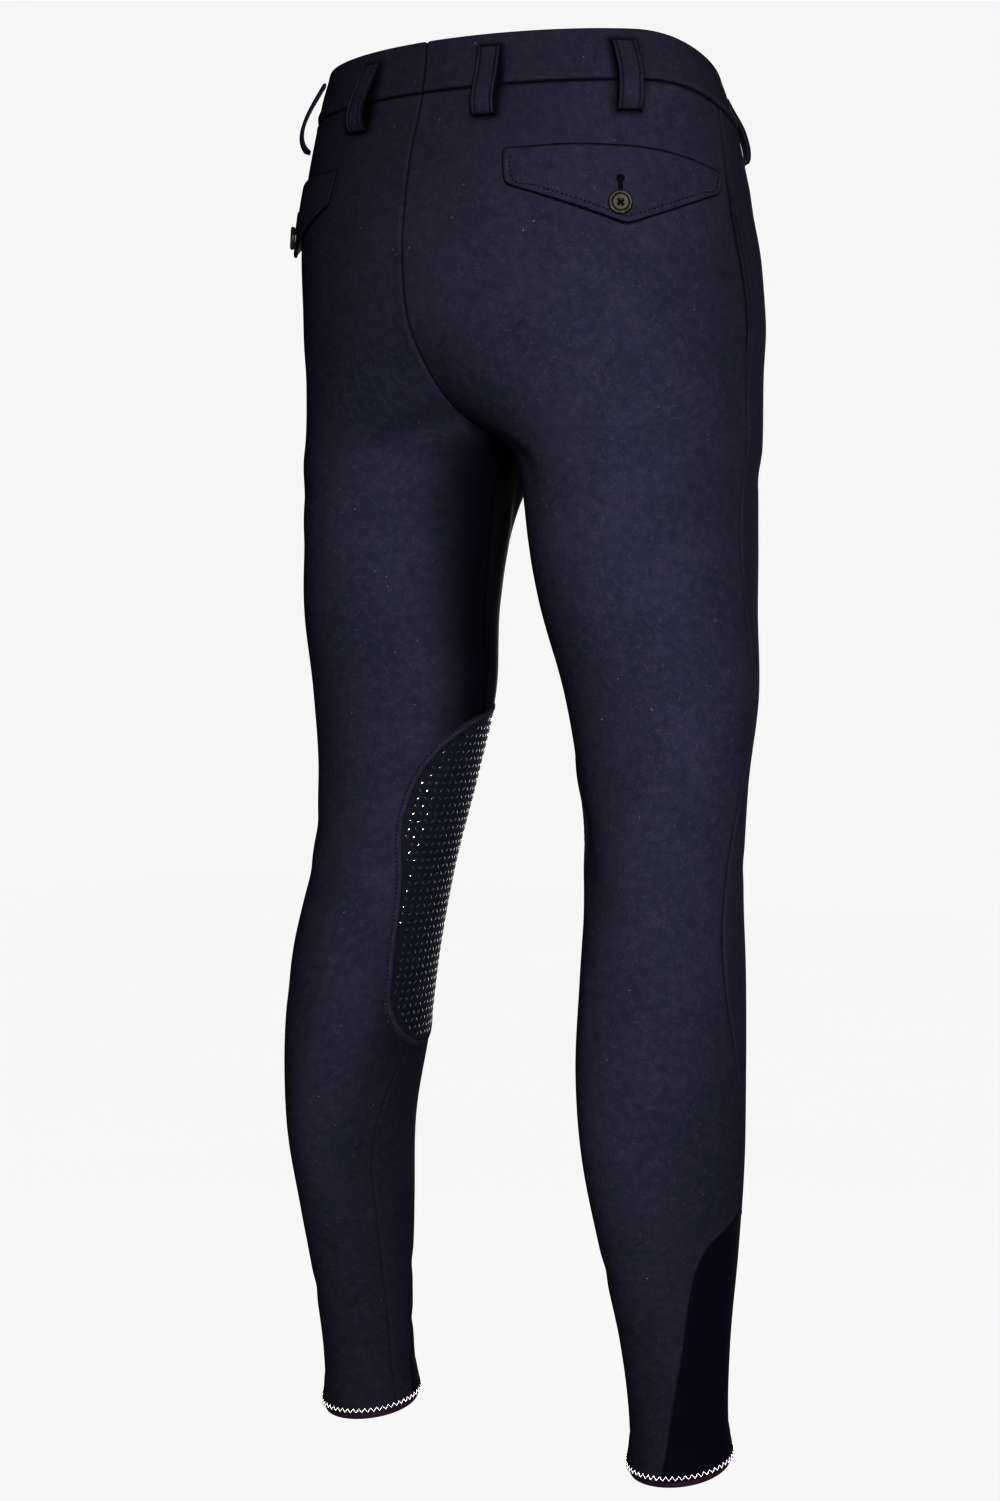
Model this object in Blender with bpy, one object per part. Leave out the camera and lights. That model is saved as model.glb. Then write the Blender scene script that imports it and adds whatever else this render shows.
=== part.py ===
"""Riding breeches, hollow as worn: panels, waistband, belt loops, flaps, knee patches, ankle panels and hems.

Everything is measured from the middle of the waist, half way up the waistband: +X is the wearer's left, +Y
the back and +Z up. Both halves come from the left half, so the tables hold only that one. The tables are in
millimetres and degrees. An angle runs round one leg: 0 at the back, 90 at the outer side, 180 at the front
and 270, or -90, at the inner side.
"""

import math
from typing import NamedTuple

import bmesh
import bpy
from mathutils import Vector

MM = 0.001
LEFT, RIGHT = 1, -1
SIDES = {"left": LEFT, "right": RIGHT}

# Thicknesses and clearances
CLOTH = 1.5
BAND = 2.4
TRIM = 2.0
PATCH = 1.0
TAPE = 1.0
GAP = 0.3

# Heights of the main lines
WAIST_TOP = 17.0
WAIST_SEAM = -17.0
SEAT_PARTS = -140.0
CROTCH = -240.0
ANKLE_PANEL_TOP = -742.0
HEM = -905.0

# How the garment stands on the body
TOES_OUT = 10.0
WAIST_DIP = 24.0
HEM_RISE = 0.2
LEFT_TWIST = 28.0
INSEAM_BACK, INSEAM_FRONT = -90.0, 270.0


class Ring(NamedTuple):
    """Half the body at one height: outermost x, y of the outermost point, y of front and back, squareness."""

    height: float
    outer: float
    middle: float
    front: float
    back: float
    square: float


BODY = (
    Ring(17, 149, 0, -90, 100, 2.0),
    Ring(0, 156, 0, -94, 102, 2.0),
    Ring(-17, 161, 0, -98, 105, 2.1),
    Ring(-60, 166, 0, -105, 118, 2.2),
    Ring(-95, 168, 0, -108, 124, 2.3),
    Ring(-125, 167, 0, -110, 126, 2.7),
    Ring(-165, 166, 0, -112, 121, 2.9),
    Ring(-200, 166, 0, -105, 104, 2.7),
    Ring(-240, 169, -2, -95, 87, 2.3),
    Ring(-285, 168, -1, -88, 88, 2.0),
    Ring(-350, 174, 1, -75, 78, 2.0),
    Ring(-410, 177, -7, -70, 57, 2.0),
    Ring(-470, 172, -4, -58, 51, 2.0),
    Ring(-530, 171, 4, -49, 58, 2.0),
    Ring(-590, 177, 15, -43, 72, 2.0),
    Ring(-650, 177, 20, -41, 83, 2.0),
    Ring(-710, 171, 22, -41, 85, 2.0),
    Ring(-770, 169, 16, -36, 68, 2.0),
    Ring(-830, 167, 10, -28, 48, 2.0),
    Ring(-885, 165, 5, -28, 37, 2.0),
    Ring(-912, 169, 4, -33, 39, 2.0),
)


class Inner(NamedTuple):
    """How far the inner side of a leg is from the middle plane, below the crotch."""

    height: float
    inner: float


INNER_LEG = (
    Inner(-240, 0),
    Inner(-250, 16),
    Inner(-262, 25),
    Inner(-285, 33),
    Inner(-350, 41),
    Inner(-410, 47),
    Inner(-470, 59),
    Inner(-530, 72),
    Inner(-590, 79),
    Inner(-650, 86),
    Inner(-710, 99),
    Inner(-770, 101),
    Inner(-830, 102),
    Inner(-885, 102),
    Inner(-912, 97),
)


class Seam(NamedTuple):
    """Where the side seam crosses a height."""

    height: float
    angle: float


SIDE_SEAM = (
    Seam(-17, 90),
    Seam(-90, 92),
    Seam(-160, 98),
    Seam(-240, 101),
    Seam(-330, 108),
    Seam(-440, 114),
    Seam(-500, 102),
    Seam(-560, 95),
    Seam(-600, 100),
    Seam(-640, 113),
    Seam(-690, 129),
    Seam(-742, 134),
    Seam(-912, 134),
)


class Spread(NamedTuple):
    """How far the ankle panel reaches to each side of the side seam."""

    height: float
    reach: float


ANKLE_PANEL = (
    Spread(-742, 0),
    Spread(-746, 9),
    Spread(-757, 37),
    Spread(-770, 52),
    Spread(-790, 62),
    Spread(-830, 77),
    Spread(-870, 95),
    Spread(-912, 113),
)


class Edge(NamedTuple):
    """The two edges of a piece across one height, as angles."""

    height: float
    rear: float
    fore: float


KNEE_PATCH = (
    Edge(-419, -112, -126),
    Edge(-424, -94, -134),
    Edge(-430, -75, -139),
    Edge(-440, -60, -142),
    Edge(-450, -50, -144),
    Edge(-466, -40, -145),
    Edge(-488, -35, -145),
    Edge(-508, -36, -145),
    Edge(-546, -46, -145),
    Edge(-602, -53, -145),
    Edge(-620, -56, -145),
    Edge(-634, -64, -143),
    Edge(-645, -76, -139),
    Edge(-652, -89, -132),
    Edge(-656, -101, -115),
)


class Corner(NamedTuple):
    """A corner of the pocket flap on the seat."""

    angle: float
    height: float


POCKET_FLAP = (
    Corner(25, -64),
    Corner(29, -60),
    Corner(45, -59),
    Corner(60, -61),
    Corner(83, -69),
    Corner(87, -75),
    Corner(85, -87),
    Corner(56, -111),
    Corner(27, -85),
    Corner(25, -77),
)
FLAP_STAND_OFF = (0.3, 3.0)
FLAP_TOP, FLAP_TIP = -59.0, -111.0
FLAP_BUTTON = Corner(54, -98)

BUTTON_RADIUS = 8.0
BUTTON_RIM = 1.3
BUTTON_HEIGHT = 3.2
BUTTON_DISH = 1.0
BUTTON_HOLE = 0.9
BUTTON_HOLE_FROM_MIDDLE = 1.9
BUTTON_SIDES, HOLE_SIDES = 14, 6


class Loop(NamedTuple):
    """Where a belt loop sits on the waistband, and how far it bows away from it."""

    angle: float
    bow: float


LOOPS = {"back": Loop(19, 11), "side": Loop(56, 11), "front": Loop(123, 9)}
LOOP_WIDTH = 16.0
LOOP_TOP, LOOP_BOTTOM = 8.0, -38.0
LOOP_STEPS = 10
LOOP_SEWN = 0.1
BAND_PROUD = 0.6

TAB_LENGTH, TAB_RISE = 28.0, 12.0
FLY_WIDTH = 36.0
FLY_BOTTOM = -150.0
TAPE_ABOVE, TAPE_BELOW, TAPE_INSIDE = 12.0, 3.5, 1.3

# Heights where the panels have a row of points
PANEL_ROWS = (
    -17, -40, -66, -94, -122, -148, -170, -190, -207, -220, -230, -237, -240,
    -244, -251, -262, -285, -315, -350, -390, -430, -470, -512, -554, -596, -634, -670,
    -706, -742, -746, -757, -770, -790, -830, -870, -890, -905,
)
BACK_COLUMNS = 9
FRONT_COLUMNS = 8
ANKLE_COLUMNS = 12
PANEL_TOP_ROW = PANEL_ROWS.index(ANKLE_PANEL_TOP)


def ease(start, end, value):
    """A smooth step from 0 at start to 1 at end."""
    step = min(max((value - start) / (end - start), 0.0), 1.0)
    return step * step * (3.0 - 2.0 * step)


def mix(start, end, part):
    return start + (end - start) * part


def read(table, height, column):
    """The value of one column at a height, on a smooth curve through the rows, which run downwards."""
    last = len(table) - 1
    row = 0
    while row < last - 1 and height < table[row + 1].height:
        row += 1
    values = [getattr(line, column) for line in table]
    heights = [line.height for line in table]

    def slope(at):
        before, after = max(at - 1, 0), min(at + 1, last)
        return (values[after] - values[before]) / (heights[after] - heights[before])

    run = heights[row + 1] - heights[row]
    part = min(max((height - heights[row]) / run, 0.0), 1.0)
    squared, cubed = part**2, part**3
    return (
        (2 * cubed - 3 * squared + 1) * values[row]
        + (cubed - 2 * squared + part) * run * slope(row)
        + (3 * squared - 2 * cubed) * values[row + 1]
        + (cubed - squared) * run * slope(row + 1)
    )


def parting(height):
    """How far the seat has parted into two legs: 0 where it is whole, 1 at the crotch."""
    down = (SEAT_PARTS - height) / (SEAT_PARTS - CROTCH)
    return min(max(down, 0.0), 1.0) ** 2


def on_body(height, angle):
    """The point of the left half's outer face at a height and an angle, in millimetres."""
    outer = read(BODY, height, "outer")
    middle = read(BODY, height, "middle")
    if height >= CROTCH:
        half = outer / (1 + parting(height))
    else:
        half = (outer - read(INNER_LEG, height, "inner")) / 2
    sine, cosine = math.sin(math.radians(angle)), math.cos(math.radians(angle))
    power = 2.0 / (read(BODY, height, "square") if cosine < 0 else 2.0)
    reach = read(BODY, height, "front" if cosine < 0 else "back") - middle
    across = half * math.copysign(abs(sine) ** power, sine)
    along = reach * abs(cosine) ** power
    turn = math.radians(TOES_OUT * ease(CROTCH, CROTCH - 90, height))
    x = outer - half + across * math.cos(turn) - along * math.sin(turn)
    y = middle + across * math.sin(turn) + along * math.cos(turn)
    dip = WAIST_DIP * ease(50, -50, y) * ease(-110, WAIST_SEAM, height)
    rise = HEM_RISE * (y - middle) * ease(-840, -900, height)
    return Vector((x, y, height - dip - rise))


def outward(height, angle):
    """The direction straight out of the cloth."""
    small = 0.05
    around = on_body(height, angle + small) - on_body(height, angle - small)
    up = on_body(height + small, angle) - on_body(height - small, angle)
    return around.cross(up).normalized() * -1


def skin(height, angle, out=0.0):
    """A point that lies a distance outside the cloth's outer face."""
    return on_body(height, angle) + outward(height, angle) * out


def degrees_for(height, angle, length):
    """The angle that covers a length along the cloth."""
    step = 0.5
    return length * step / (on_body(height, angle + step) - on_body(height, angle)).length


def centre_back(height):
    """Where the back panel starts: at the seat seam, then at the inner leg seam."""
    if height > CROTCH:
        return -math.degrees(math.asin(parting(height)))
    return INSEAM_BACK


def centre_front(height):
    """Where the front panel ends: at the rise seam, then at the inner leg seam."""
    if height > CROTCH:
        return 180.0 + math.degrees(math.asin(parting(height) ** (read(BODY, height, "square") / 2)))
    return INSEAM_FRONT


def side_seam(height):
    return read(SIDE_SEAM, height, "angle")


def ankle_reach(height):
    """Half the ankle panel's width as an angle, on straight lines between the rows of its table."""
    for above, below in zip(ANKLE_PANEL, ANKLE_PANEL[1:]):
        if above.height >= height >= below.height:
            return mix(above.reach, below.reach, (above.height - height) / (above.height - below.height))
    return 0.0


def rear_edge(height):
    """The back panel's outer edge: the side seam, then the ankle panel's rear edge."""
    return side_seam(height) - ankle_reach(height)


def fore_edge(height):
    """The front panel's outer edge: the side seam, then the ankle panel's front edge."""
    return side_seam(height) + ankle_reach(height)


def inset(height, angle, length=GAP / 2):
    """The angle moved round by a length along the cloth."""
    return angle + math.copysign(degrees_for(height, angle, abs(length)), length)


def back_columns():
    """The back panel's columns. They crowd towards a slanting edge, and the others keep their place."""

    def column(part):
        def angle(height):
            centre = inset(height, centre_back(height))
            edge = inset(height, rear_edge(height), -GAP / 2)
            crowd = 1 + 3 * parting(height)
            even = mix(INSEAM_BACK, side_seam(height), part)
            from_centre = (centre - INSEAM_BACK) * (1 - part) ** crowd
            return even + from_centre + (edge - side_seam(height)) * part**2

        return angle

    return [column(step / BACK_COLUMNS) for step in range(BACK_COLUMNS + 1)]


def front_columns():
    """The front panel's columns, spread in the same way."""

    def column(part):
        def angle(height):
            edge = inset(height, fore_edge(height))
            centre = inset(height, centre_front(height), -GAP / 2)
            crowd = 1 + 3 * parting(height)
            even = mix(side_seam(height), INSEAM_FRONT, part)
            from_centre = (centre - INSEAM_FRONT) * part**crowd
            return even + from_centre + (edge - side_seam(height)) * (1 - part) ** 2

        return angle

    return [column(step / FRONT_COLUMNS) for step in range(FRONT_COLUMNS + 1)]


def ankle_columns():
    """The ankle panel's columns, a gap inside the panels on each side."""

    def column(part):
        def angle(height):
            return mix(inset(height, rear_edge(height), GAP), inset(height, fore_edge(height), -GAP), part)

        return angle

    return [column(step / ANKLE_COLUMNS) for step in range(ANKLE_COLUMNS + 1)]


def material(name, colour, roughness, metallic=0.0):
    made = bpy.data.materials.new(name)
    made.use_nodes = True
    shader = made.node_tree.nodes["Principled BSDF"]
    shader.inputs["Base Color"].default_value = (*colour, 1.0)
    shader.inputs["Roughness"].default_value = roughness
    shader.inputs["Metallic"].default_value = metallic
    return made


def new_object(name, mesh_data, finish):
    """An object from a bmesh, smooth where it is round."""
    mesh = bpy.data.meshes.new(name)
    bmesh.ops.recalc_face_normals(mesh_data, faces=mesh_data.faces)
    if mesh_data.calc_volume(signed=True) < 0:
        bmesh.ops.reverse_faces(mesh_data, faces=mesh_data.faces)
    mesh_data.to_mesh(mesh)
    mesh_data.free()
    mesh.shade_smooth()
    mesh.set_sharp_from_angle(angle=math.radians(40))
    made = bpy.data.objects.new(name, mesh)
    made.data.materials.append(finish)
    bpy.context.scene.collection.objects.link(made)
    return made


def slab(columns, rows, place):
    """A closed slab of cells, whose points go where place(column, row, inside) says, with inside 0 or 1."""
    cloth = bmesh.new()
    bmesh.ops.create_grid(cloth, x_segments=columns, y_segments=rows, size=0.5)
    whole = bmesh.ops.extrude_face_region(cloth, geom=cloth.faces[:], use_keep_orig=True)
    inner = [part for part in whole["geom"] if isinstance(part, bmesh.types.BMVert)]
    bmesh.ops.translate(cloth, vec=(0, 0, 1), verts=inner)
    for vert in cloth.verts:
        column = round((vert.co.x + 0.5) * columns)
        row = round((0.5 - vert.co.y) * rows)
        vert.co = place(column, row, vert.co.z > 0.5) * MM
    bmesh.ops.triangulate(cloth, faces=cloth.faces[:], quad_method="SHORT_EDGE")
    return cloth


def handed(point, side):
    return Vector((point.x * side, point.y, point.z))


def cloth_sheet(side, columns, rows, thick, out=None, flush=()):
    """A piece of cloth over the body. A column in flush is cut flat on the middle plane above the crotch."""
    twist = LEFT_TWIST if side == LEFT else 0.0

    def place(column, row, inside):
        height = rows[row]
        angle = columns[column](height)
        lift = out(height, angle) if out else 0.0
        point = skin(height, angle + twist * ease(-600, -760, height), lift - (thick if inside else 0.0))
        if height >= CROTCH:
            point.x = GAP / 2 if column in flush else max(point.x, GAP / 2)
        return handed(point, side)

    return slab(len(columns) - 1, len(rows) - 1, place)


def make_panels(name, side, finish):
    """The back and front of one leg, each cut in one piece from the waist seam to the hem."""
    rows = [PANEL_ROWS[0] - GAP, *PANEL_ROWS[1:]]
    back = back_columns()
    new_object(f"back_{name}", cloth_sheet(side, back, rows, CLOTH, flush=(0,)), finish)
    front = front_columns()
    new_object(f"front_{name}", cloth_sheet(side, front, rows, CLOTH, flush=(FRONT_COLUMNS,)), finish)


def make_ankle_panel(name, side, finish):
    """The smooth elastic panel let into the outer side of the lower leg."""
    rows = [ANKLE_PANEL_TOP - 2 * GAP, *PANEL_ROWS[PANEL_TOP_ROW + 1 :]]
    new_object(f"ankle_panel_{name}", cloth_sheet(side, ankle_columns(), rows, CLOTH), finish)


def make_waistband(name, side, finish):
    """Half the waistband, from the centre back seam to the front, where the left half laps over the right."""
    rows = (WAIST_TOP, (WAIST_TOP + WAIST_SEAM) / 2, WAIST_SEAM)
    end = 180.0 - degrees_for(0, 180, GAP / 2)
    lap = degrees_for(0, 180, TAB_LENGTH)
    angles = [column(WAIST_SEAM) for column in back_columns()[:-1] + front_columns()]
    rise_start = end - degrees_for(0, 180, TAB_RISE)
    rise_end = end - degrees_for(0, 180, 2)
    if side == LEFT:
        angles = [angle for angle in angles if angle < rise_start - 1]
        angles += [rise_start, rise_end, end, end + lap / 2, end + lap]

    def place(column, row, inside):
        angle = angles[column]
        lift = BAND_PROUD
        if side == LEFT and angle >= rise_end:
            lift += BAND + GAP
        point = skin(rows[row], angle, lift - (BAND if inside else 0.0))
        if column == 0:
            point.x = GAP / 2
        return handed(point, side)

    new_object(f"waistband_{name}", slab(len(angles) - 1, len(rows) - 1, place), finish)


def make_fly(finish):
    """The fly's lap: a strip on the left front beside the rise seam, rounded at its lower corner."""
    rows = [height for height in PANEL_ROWS if height >= FLY_BOTTOM]
    rows[0] -= 1.0
    columns = 3

    def column(part):
        def angle(height):
            edge = centre_front(height) - degrees_for(height, 180, GAP / 2)
            width = FLY_WIDTH * math.sqrt(1 - ease(-110, FLY_BOTTOM - 12, height) ** 2)
            return edge - degrees_for(height, 175, width) * (1 - part)

        return angle

    strips = [column(step / columns) for step in range(columns + 1)]
    lap = cloth_sheet(LEFT, strips, rows, CLOTH, out=lambda height, angle: 2 * GAP + CLOTH, flush=(columns,))
    new_object("fly", lap, finish)


def prism(name, corners, direction, reach):
    """A cutter: the outline through the corners, swept both ways along a direction."""
    flat = [corner - direction * corner.dot(direction) for corner in corners]
    middle = sum((corner.dot(direction) for corner in corners), 0.0) / len(corners)
    cutter = bmesh.new()
    near = [cutter.verts.new((corner + direction * (middle - reach)) * MM) for corner in flat]
    face = cutter.faces.new(near)
    swept = bmesh.ops.extrude_face_region(cutter, geom=[face], use_keep_orig=True)
    far = [part for part in swept["geom"] if isinstance(part, bmesh.types.BMVert)]
    bmesh.ops.translate(cutter, vec=direction * (2 * reach * MM), verts=far)
    made = new_object(name, cutter, bpy.data.materials["outline"])
    made.hide_render = True
    made.display_type = "WIRE"
    return made


def stamp(piece, cutter):
    """Keeps only what lies inside the cutter."""
    cut = piece.modifiers.new("outline", "BOOLEAN")
    cut.operation = "INTERSECT"
    cut.solver = "EXACT"
    cut.object = cutter


def make_knee_patch(name, side, finish):
    """The grip patch over the inner knee, laid on both panels and across the seam between them."""
    columns = [lambda height, turn=turn: turn(height) - 360 for turn in front_columns()[-5:-1]]
    columns += [centre_back]
    columns += back_columns()[1:6]
    rows = [height for height in PANEL_ROWS if -700 < height < -380]
    sheet = cloth_sheet(side, columns, rows, PATCH, out=lambda height, angle: GAP + PATCH)
    piece = new_object(f"knee_patch_{name}", sheet, finish)
    edge = [skin(line.height, line.rear) for line in KNEE_PATCH]
    edge += [skin(line.height, line.fore) for line in reversed(KNEE_PATCH)]
    corners = [handed(point, side) for point in edge]
    facing = math.radians(-87 - TOES_OUT)
    direction = handed(Vector((math.sin(facing), math.cos(facing), 0)), side)
    stamp(piece, prism(f"knee_outline_{name}", corners, direction, 45))


def flap_lift(height):
    """The flap lies on the seat at its top and stands away from it at its point."""
    near, far = FLAP_STAND_OFF
    return near + (far - near) * min(max((FLAP_TOP - height) / (FLAP_TOP - FLAP_TIP), 0.0), 1.2)


def make_flap(name, side, finish):
    """The pointed pocket flap on the seat."""
    columns = back_columns()[1:]
    rows = [height for height in PANEL_ROWS if -130 < height < -30]
    sheet = cloth_sheet(side, columns, rows, TRIM, out=lambda height, angle: flap_lift(height) + TRIM)
    piece = new_object(f"pocket_flap_{name}", sheet, finish)
    corners = [handed(skin(corner.height, corner.angle), side) for corner in POCKET_FLAP]
    direction = handed(outward(-75, 57), side)
    stamp(piece, prism(f"flap_outline_{name}", corners, direction, 60))


def make_button(name, side, centre, direction, finish):
    """A four-hole button with a dished face and a rounded rim, lying flat on a piece of cloth."""
    profile = (
        (0.0, 0.0),
        (BUTTON_RADIUS - BUTTON_RIM, 0.0),
        (BUTTON_RADIUS, BUTTON_HEIGHT * 0.45),
        (BUTTON_RADIUS - BUTTON_RIM * 0.5, BUTTON_HEIGHT),
        (BUTTON_RADIUS - BUTTON_RIM * 1.6, BUTTON_HEIGHT),
        (BUTTON_RADIUS - BUTTON_RIM * 2.4, BUTTON_HEIGHT - BUTTON_DISH),
        (0.0, BUTTON_HEIGHT - BUTTON_DISH),
    )
    turned = bmesh.new()
    verts = [turned.verts.new((radius * MM, 0, rise * MM)) for radius, rise in profile]
    edges = [turned.edges.new(pair) for pair in zip(verts, verts[1:])]
    bmesh.ops.spin(
        turned,
        geom=verts + edges,
        axis=(0, 0, 1),
        cent=(0, 0, 0),
        angle=math.tau,
        steps=BUTTON_SIDES,
        use_merge=True,
    )
    bmesh.ops.remove_doubles(turned, verts=turned.verts, dist=0.00001)
    facing = handed(direction, side).to_track_quat("Z", "Y").to_matrix().to_4x4()
    button = new_object(name, turned, finish)
    cutter = bmesh.new()
    for corner in range(4):
        turn = math.radians(45 + 90 * corner)
        place = Vector((math.cos(turn), math.sin(turn), 0)) * BUTTON_HOLE_FROM_MIDDLE * MM
        made = bmesh.ops.create_cone(
            cutter,
            cap_ends=True,
            segments=HOLE_SIDES,
            radius1=BUTTON_HOLE * MM,
            radius2=BUTTON_HOLE * MM,
            depth=0.02,
        )
        bmesh.ops.translate(cutter, vec=place, verts=made["verts"])
    holes = new_object(f"{name}_holes", cutter, bpy.data.materials["outline"])
    holes.hide_render = True
    holes.display_type = "WIRE"
    cut = button.modifiers.new("holes", "BOOLEAN")
    cut.operation = "DIFFERENCE"
    cut.solver = "EXACT"
    cut.object = holes
    for piece in (button, holes):
        piece.matrix_world = facing
        piece.location = handed(centre, side) * MM
    return button


def make_loop(name, side, loop, finish):
    """A belt loop: a doubled strip sewn down at both ends and bowed away from the waistband between them."""

    def place(column, row, inside):
        part = row / LOOP_STEPS
        height = mix(LOOP_TOP, LOOP_BOTTOM, part)
        bow = math.sin(math.pi * min(max((part - LOOP_SEWN) / (1 - 2 * LOOP_SEWN), 0.0), 1.0)) ** 0.8
        lift = mix(BAND_PROUD, 0.0, part) + 2 * GAP + loop.bow * bow + (0.0 if inside else TRIM)
        sideways = (on_body(height, loop.angle + 1) - on_body(height, loop.angle - 1)).normalized()
        point = skin(height, loop.angle, lift) + sideways * LOOP_WIDTH * (column - 0.5)
        return handed(point, side)

    new_object(name, slab(1, LOOP_STEPS, place), finish)


def make_hem_tape(name, side, finish):
    """The grip tape inside the hem, a closed ring that shows below the cloth."""
    around = 26
    tape = bmesh.new()
    rings = []
    face = CLOTH + TAPE_INSIDE
    for height, depth in (
        (HEM + TAPE_ABOVE, face),
        (HEM - TAPE_BELOW, face),
        (HEM - TAPE_BELOW, face + TAPE),
        (HEM + TAPE_ABOVE, face + TAPE),
    ):
        ring = bmesh.ops.create_circle(tape, segments=around, radius=1)["verts"]
        for step, vert in enumerate(ring):
            vert.co = handed(skin(height, 360.0 * step / around, -depth), side) * MM
        rings.append(list({edge for vert in ring for edge in vert.link_edges}))
    for ring, following in zip(rings, rings[1:] + rings[:1]):
        bmesh.ops.bridge_loops(tape, edges=ring + following)
    new_object(f"hem_tape_{name}", tape, finish)


def clear_scene():
    for old in list(bpy.data.objects):
        bpy.data.objects.remove(old, do_unlink=True)


def build():
    clear_scene()
    cloth = material("cloth", (0.014, 0.015, 0.028), 0.85)
    trim = material("trim", (0.012, 0.013, 0.024), 0.85)
    elastic = material("elastic", (0.004, 0.003, 0.010), 0.6)
    grip = material("grip", (0.008, 0.009, 0.016), 0.5)
    tape = material("tape", (0.015, 0.006, 0.022), 0.7)
    horn = material("button", (0.020, 0.020, 0.022), 0.3)
    material("outline", (0.8, 0.2, 0.1), 1.0)
    for name, side in SIDES.items():
        make_panels(name, side, cloth)
        make_waistband(name, side, cloth)
        make_ankle_panel(name, side, elastic)
        make_knee_patch(name, side, grip)
        make_flap(name, side, trim)
        make_hem_tape(name, side, tape)
        spot = FLAP_BUTTON
        lift = flap_lift(spot.height) + TRIM + GAP
        direction = outward(spot.height, spot.angle)
        make_button(f"flap_button_{name}", side, skin(spot.height, spot.angle, lift), direction, horn)
        for place, loop in LOOPS.items():
            make_loop(f"belt_loop_{place}_{name}", side, loop, trim)
    make_fly(cloth)
    tab = 180.0 + degrees_for(0, 180, TAB_LENGTH * 0.55)
    lift = BAND_PROUD + BAND + 2 * GAP
    make_button("waist_button", LEFT, skin(0, tab, lift), outward(0, tab), horn)


build()
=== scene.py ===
"""Riding breeches, hollow as worn: stretch cloth panels with seams and soft creases, a waistband, belt loops,
pocket flaps, grip patches over the inner knees, elastic ankle panels and zigzag-stitched hems.

The cloth lies on the same form as the solids. Heights and lengths are in millimetres. An angle runs round one
leg: 0 at the back, 90 at the outer side, 180 at the front and 270, or -90, at the inner side.
"""

from __future__ import annotations

import bisect
import logging
import math
from dataclasses import dataclass, field
from enum import Enum
from typing import Callable, NamedTuple, Sequence, Union

import bmesh
import bpy
from bmesh.types import BMesh, BMVert
from bpy.types import Material, Object
from mathutils import Matrix, Vector


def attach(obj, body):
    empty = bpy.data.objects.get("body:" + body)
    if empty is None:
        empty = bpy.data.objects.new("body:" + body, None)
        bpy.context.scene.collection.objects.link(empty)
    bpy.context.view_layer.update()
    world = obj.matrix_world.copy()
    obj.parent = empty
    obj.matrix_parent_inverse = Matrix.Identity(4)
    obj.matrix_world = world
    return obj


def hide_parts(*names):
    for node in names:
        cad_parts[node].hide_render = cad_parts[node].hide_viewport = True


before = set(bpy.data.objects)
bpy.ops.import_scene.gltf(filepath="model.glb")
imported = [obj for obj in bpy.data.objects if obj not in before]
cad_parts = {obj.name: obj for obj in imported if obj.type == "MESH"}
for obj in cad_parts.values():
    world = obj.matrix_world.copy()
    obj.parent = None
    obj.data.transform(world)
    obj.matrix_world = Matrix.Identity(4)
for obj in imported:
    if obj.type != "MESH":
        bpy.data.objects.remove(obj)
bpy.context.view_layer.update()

MM = 0.001
SHADE = "shade"
RIBS_TO_SCALE = 0.31
LOG = logging.getLogger("breeches")

Points = list[Vector]
Rows = list[Points]
Flat = list[list[tuple[float, float]]]
Shades = list[list[float]]
Corners = Sequence[tuple[float, float]]
Colour = tuple[float, float, float]


class Side(Enum):
    """A half of the garment, as the wearer's left and right. The value mirrors the left half's x."""

    LEFT = 1
    RIGHT = -1

    @property
    def word(self) -> str:
        """The side's name in the names of nodes."""
        return self.name.lower()


# ---- The form that the cloth lies on ----


class Ring(NamedTuple):
    """Half the body at one height: outermost x, y of the outermost point, y of front and back, squareness."""

    height: float
    outer: float
    middle: float
    front: float
    back: float
    square: float


BODY = (
    Ring(17, 149, 0, -90, 100, 2.0),
    Ring(0, 156, 0, -94, 102, 2.0),
    Ring(-17, 161, 0, -98, 105, 2.1),
    Ring(-60, 166, 0, -105, 118, 2.2),
    Ring(-95, 168, 0, -108, 124, 2.3),
    Ring(-125, 167, 0, -110, 126, 2.7),
    Ring(-165, 166, 0, -112, 121, 2.9),
    Ring(-200, 166, 0, -105, 104, 2.7),
    Ring(-240, 169, -2, -95, 87, 2.3),
    Ring(-285, 168, -1, -88, 88, 2.0),
    Ring(-350, 174, 1, -75, 78, 2.0),
    Ring(-410, 177, -7, -70, 57, 2.0),
    Ring(-470, 172, -4, -58, 51, 2.0),
    Ring(-530, 171, 4, -49, 58, 2.0),
    Ring(-590, 177, 15, -43, 72, 2.0),
    Ring(-650, 177, 20, -41, 83, 2.0),
    Ring(-710, 171, 22, -41, 85, 2.0),
    Ring(-770, 169, 16, -36, 68, 2.0),
    Ring(-830, 167, 10, -28, 48, 2.0),
    Ring(-885, 165, 5, -28, 37, 2.0),
    Ring(-912, 169, 4, -33, 39, 2.0),
)


class At(NamedTuple):
    """A value at a height."""

    height: float
    value: float


# How far the inner side of a leg is from the middle plane.
INNER_LEG = (
    *(At(-240, 0), At(-250, 16), At(-262, 25), At(-285, 33), At(-350, 41), At(-410, 47), At(-470, 59)),
    *(At(-530, 72), At(-590, 79), At(-650, 86), At(-710, 99), At(-770, 101), At(-830, 102), At(-885, 102)),
    At(-912, 97),
)
# The angle of the side seam.
SIDE_SEAM = (
    *(At(-17, 90), At(-90, 92), At(-160, 98), At(-240, 101), At(-330, 108), At(-440, 114), At(-500, 102)),
    *(At(-560, 95), At(-600, 100), At(-640, 113), At(-690, 129), At(-742, 134), At(-912, 134)),
)
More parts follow.
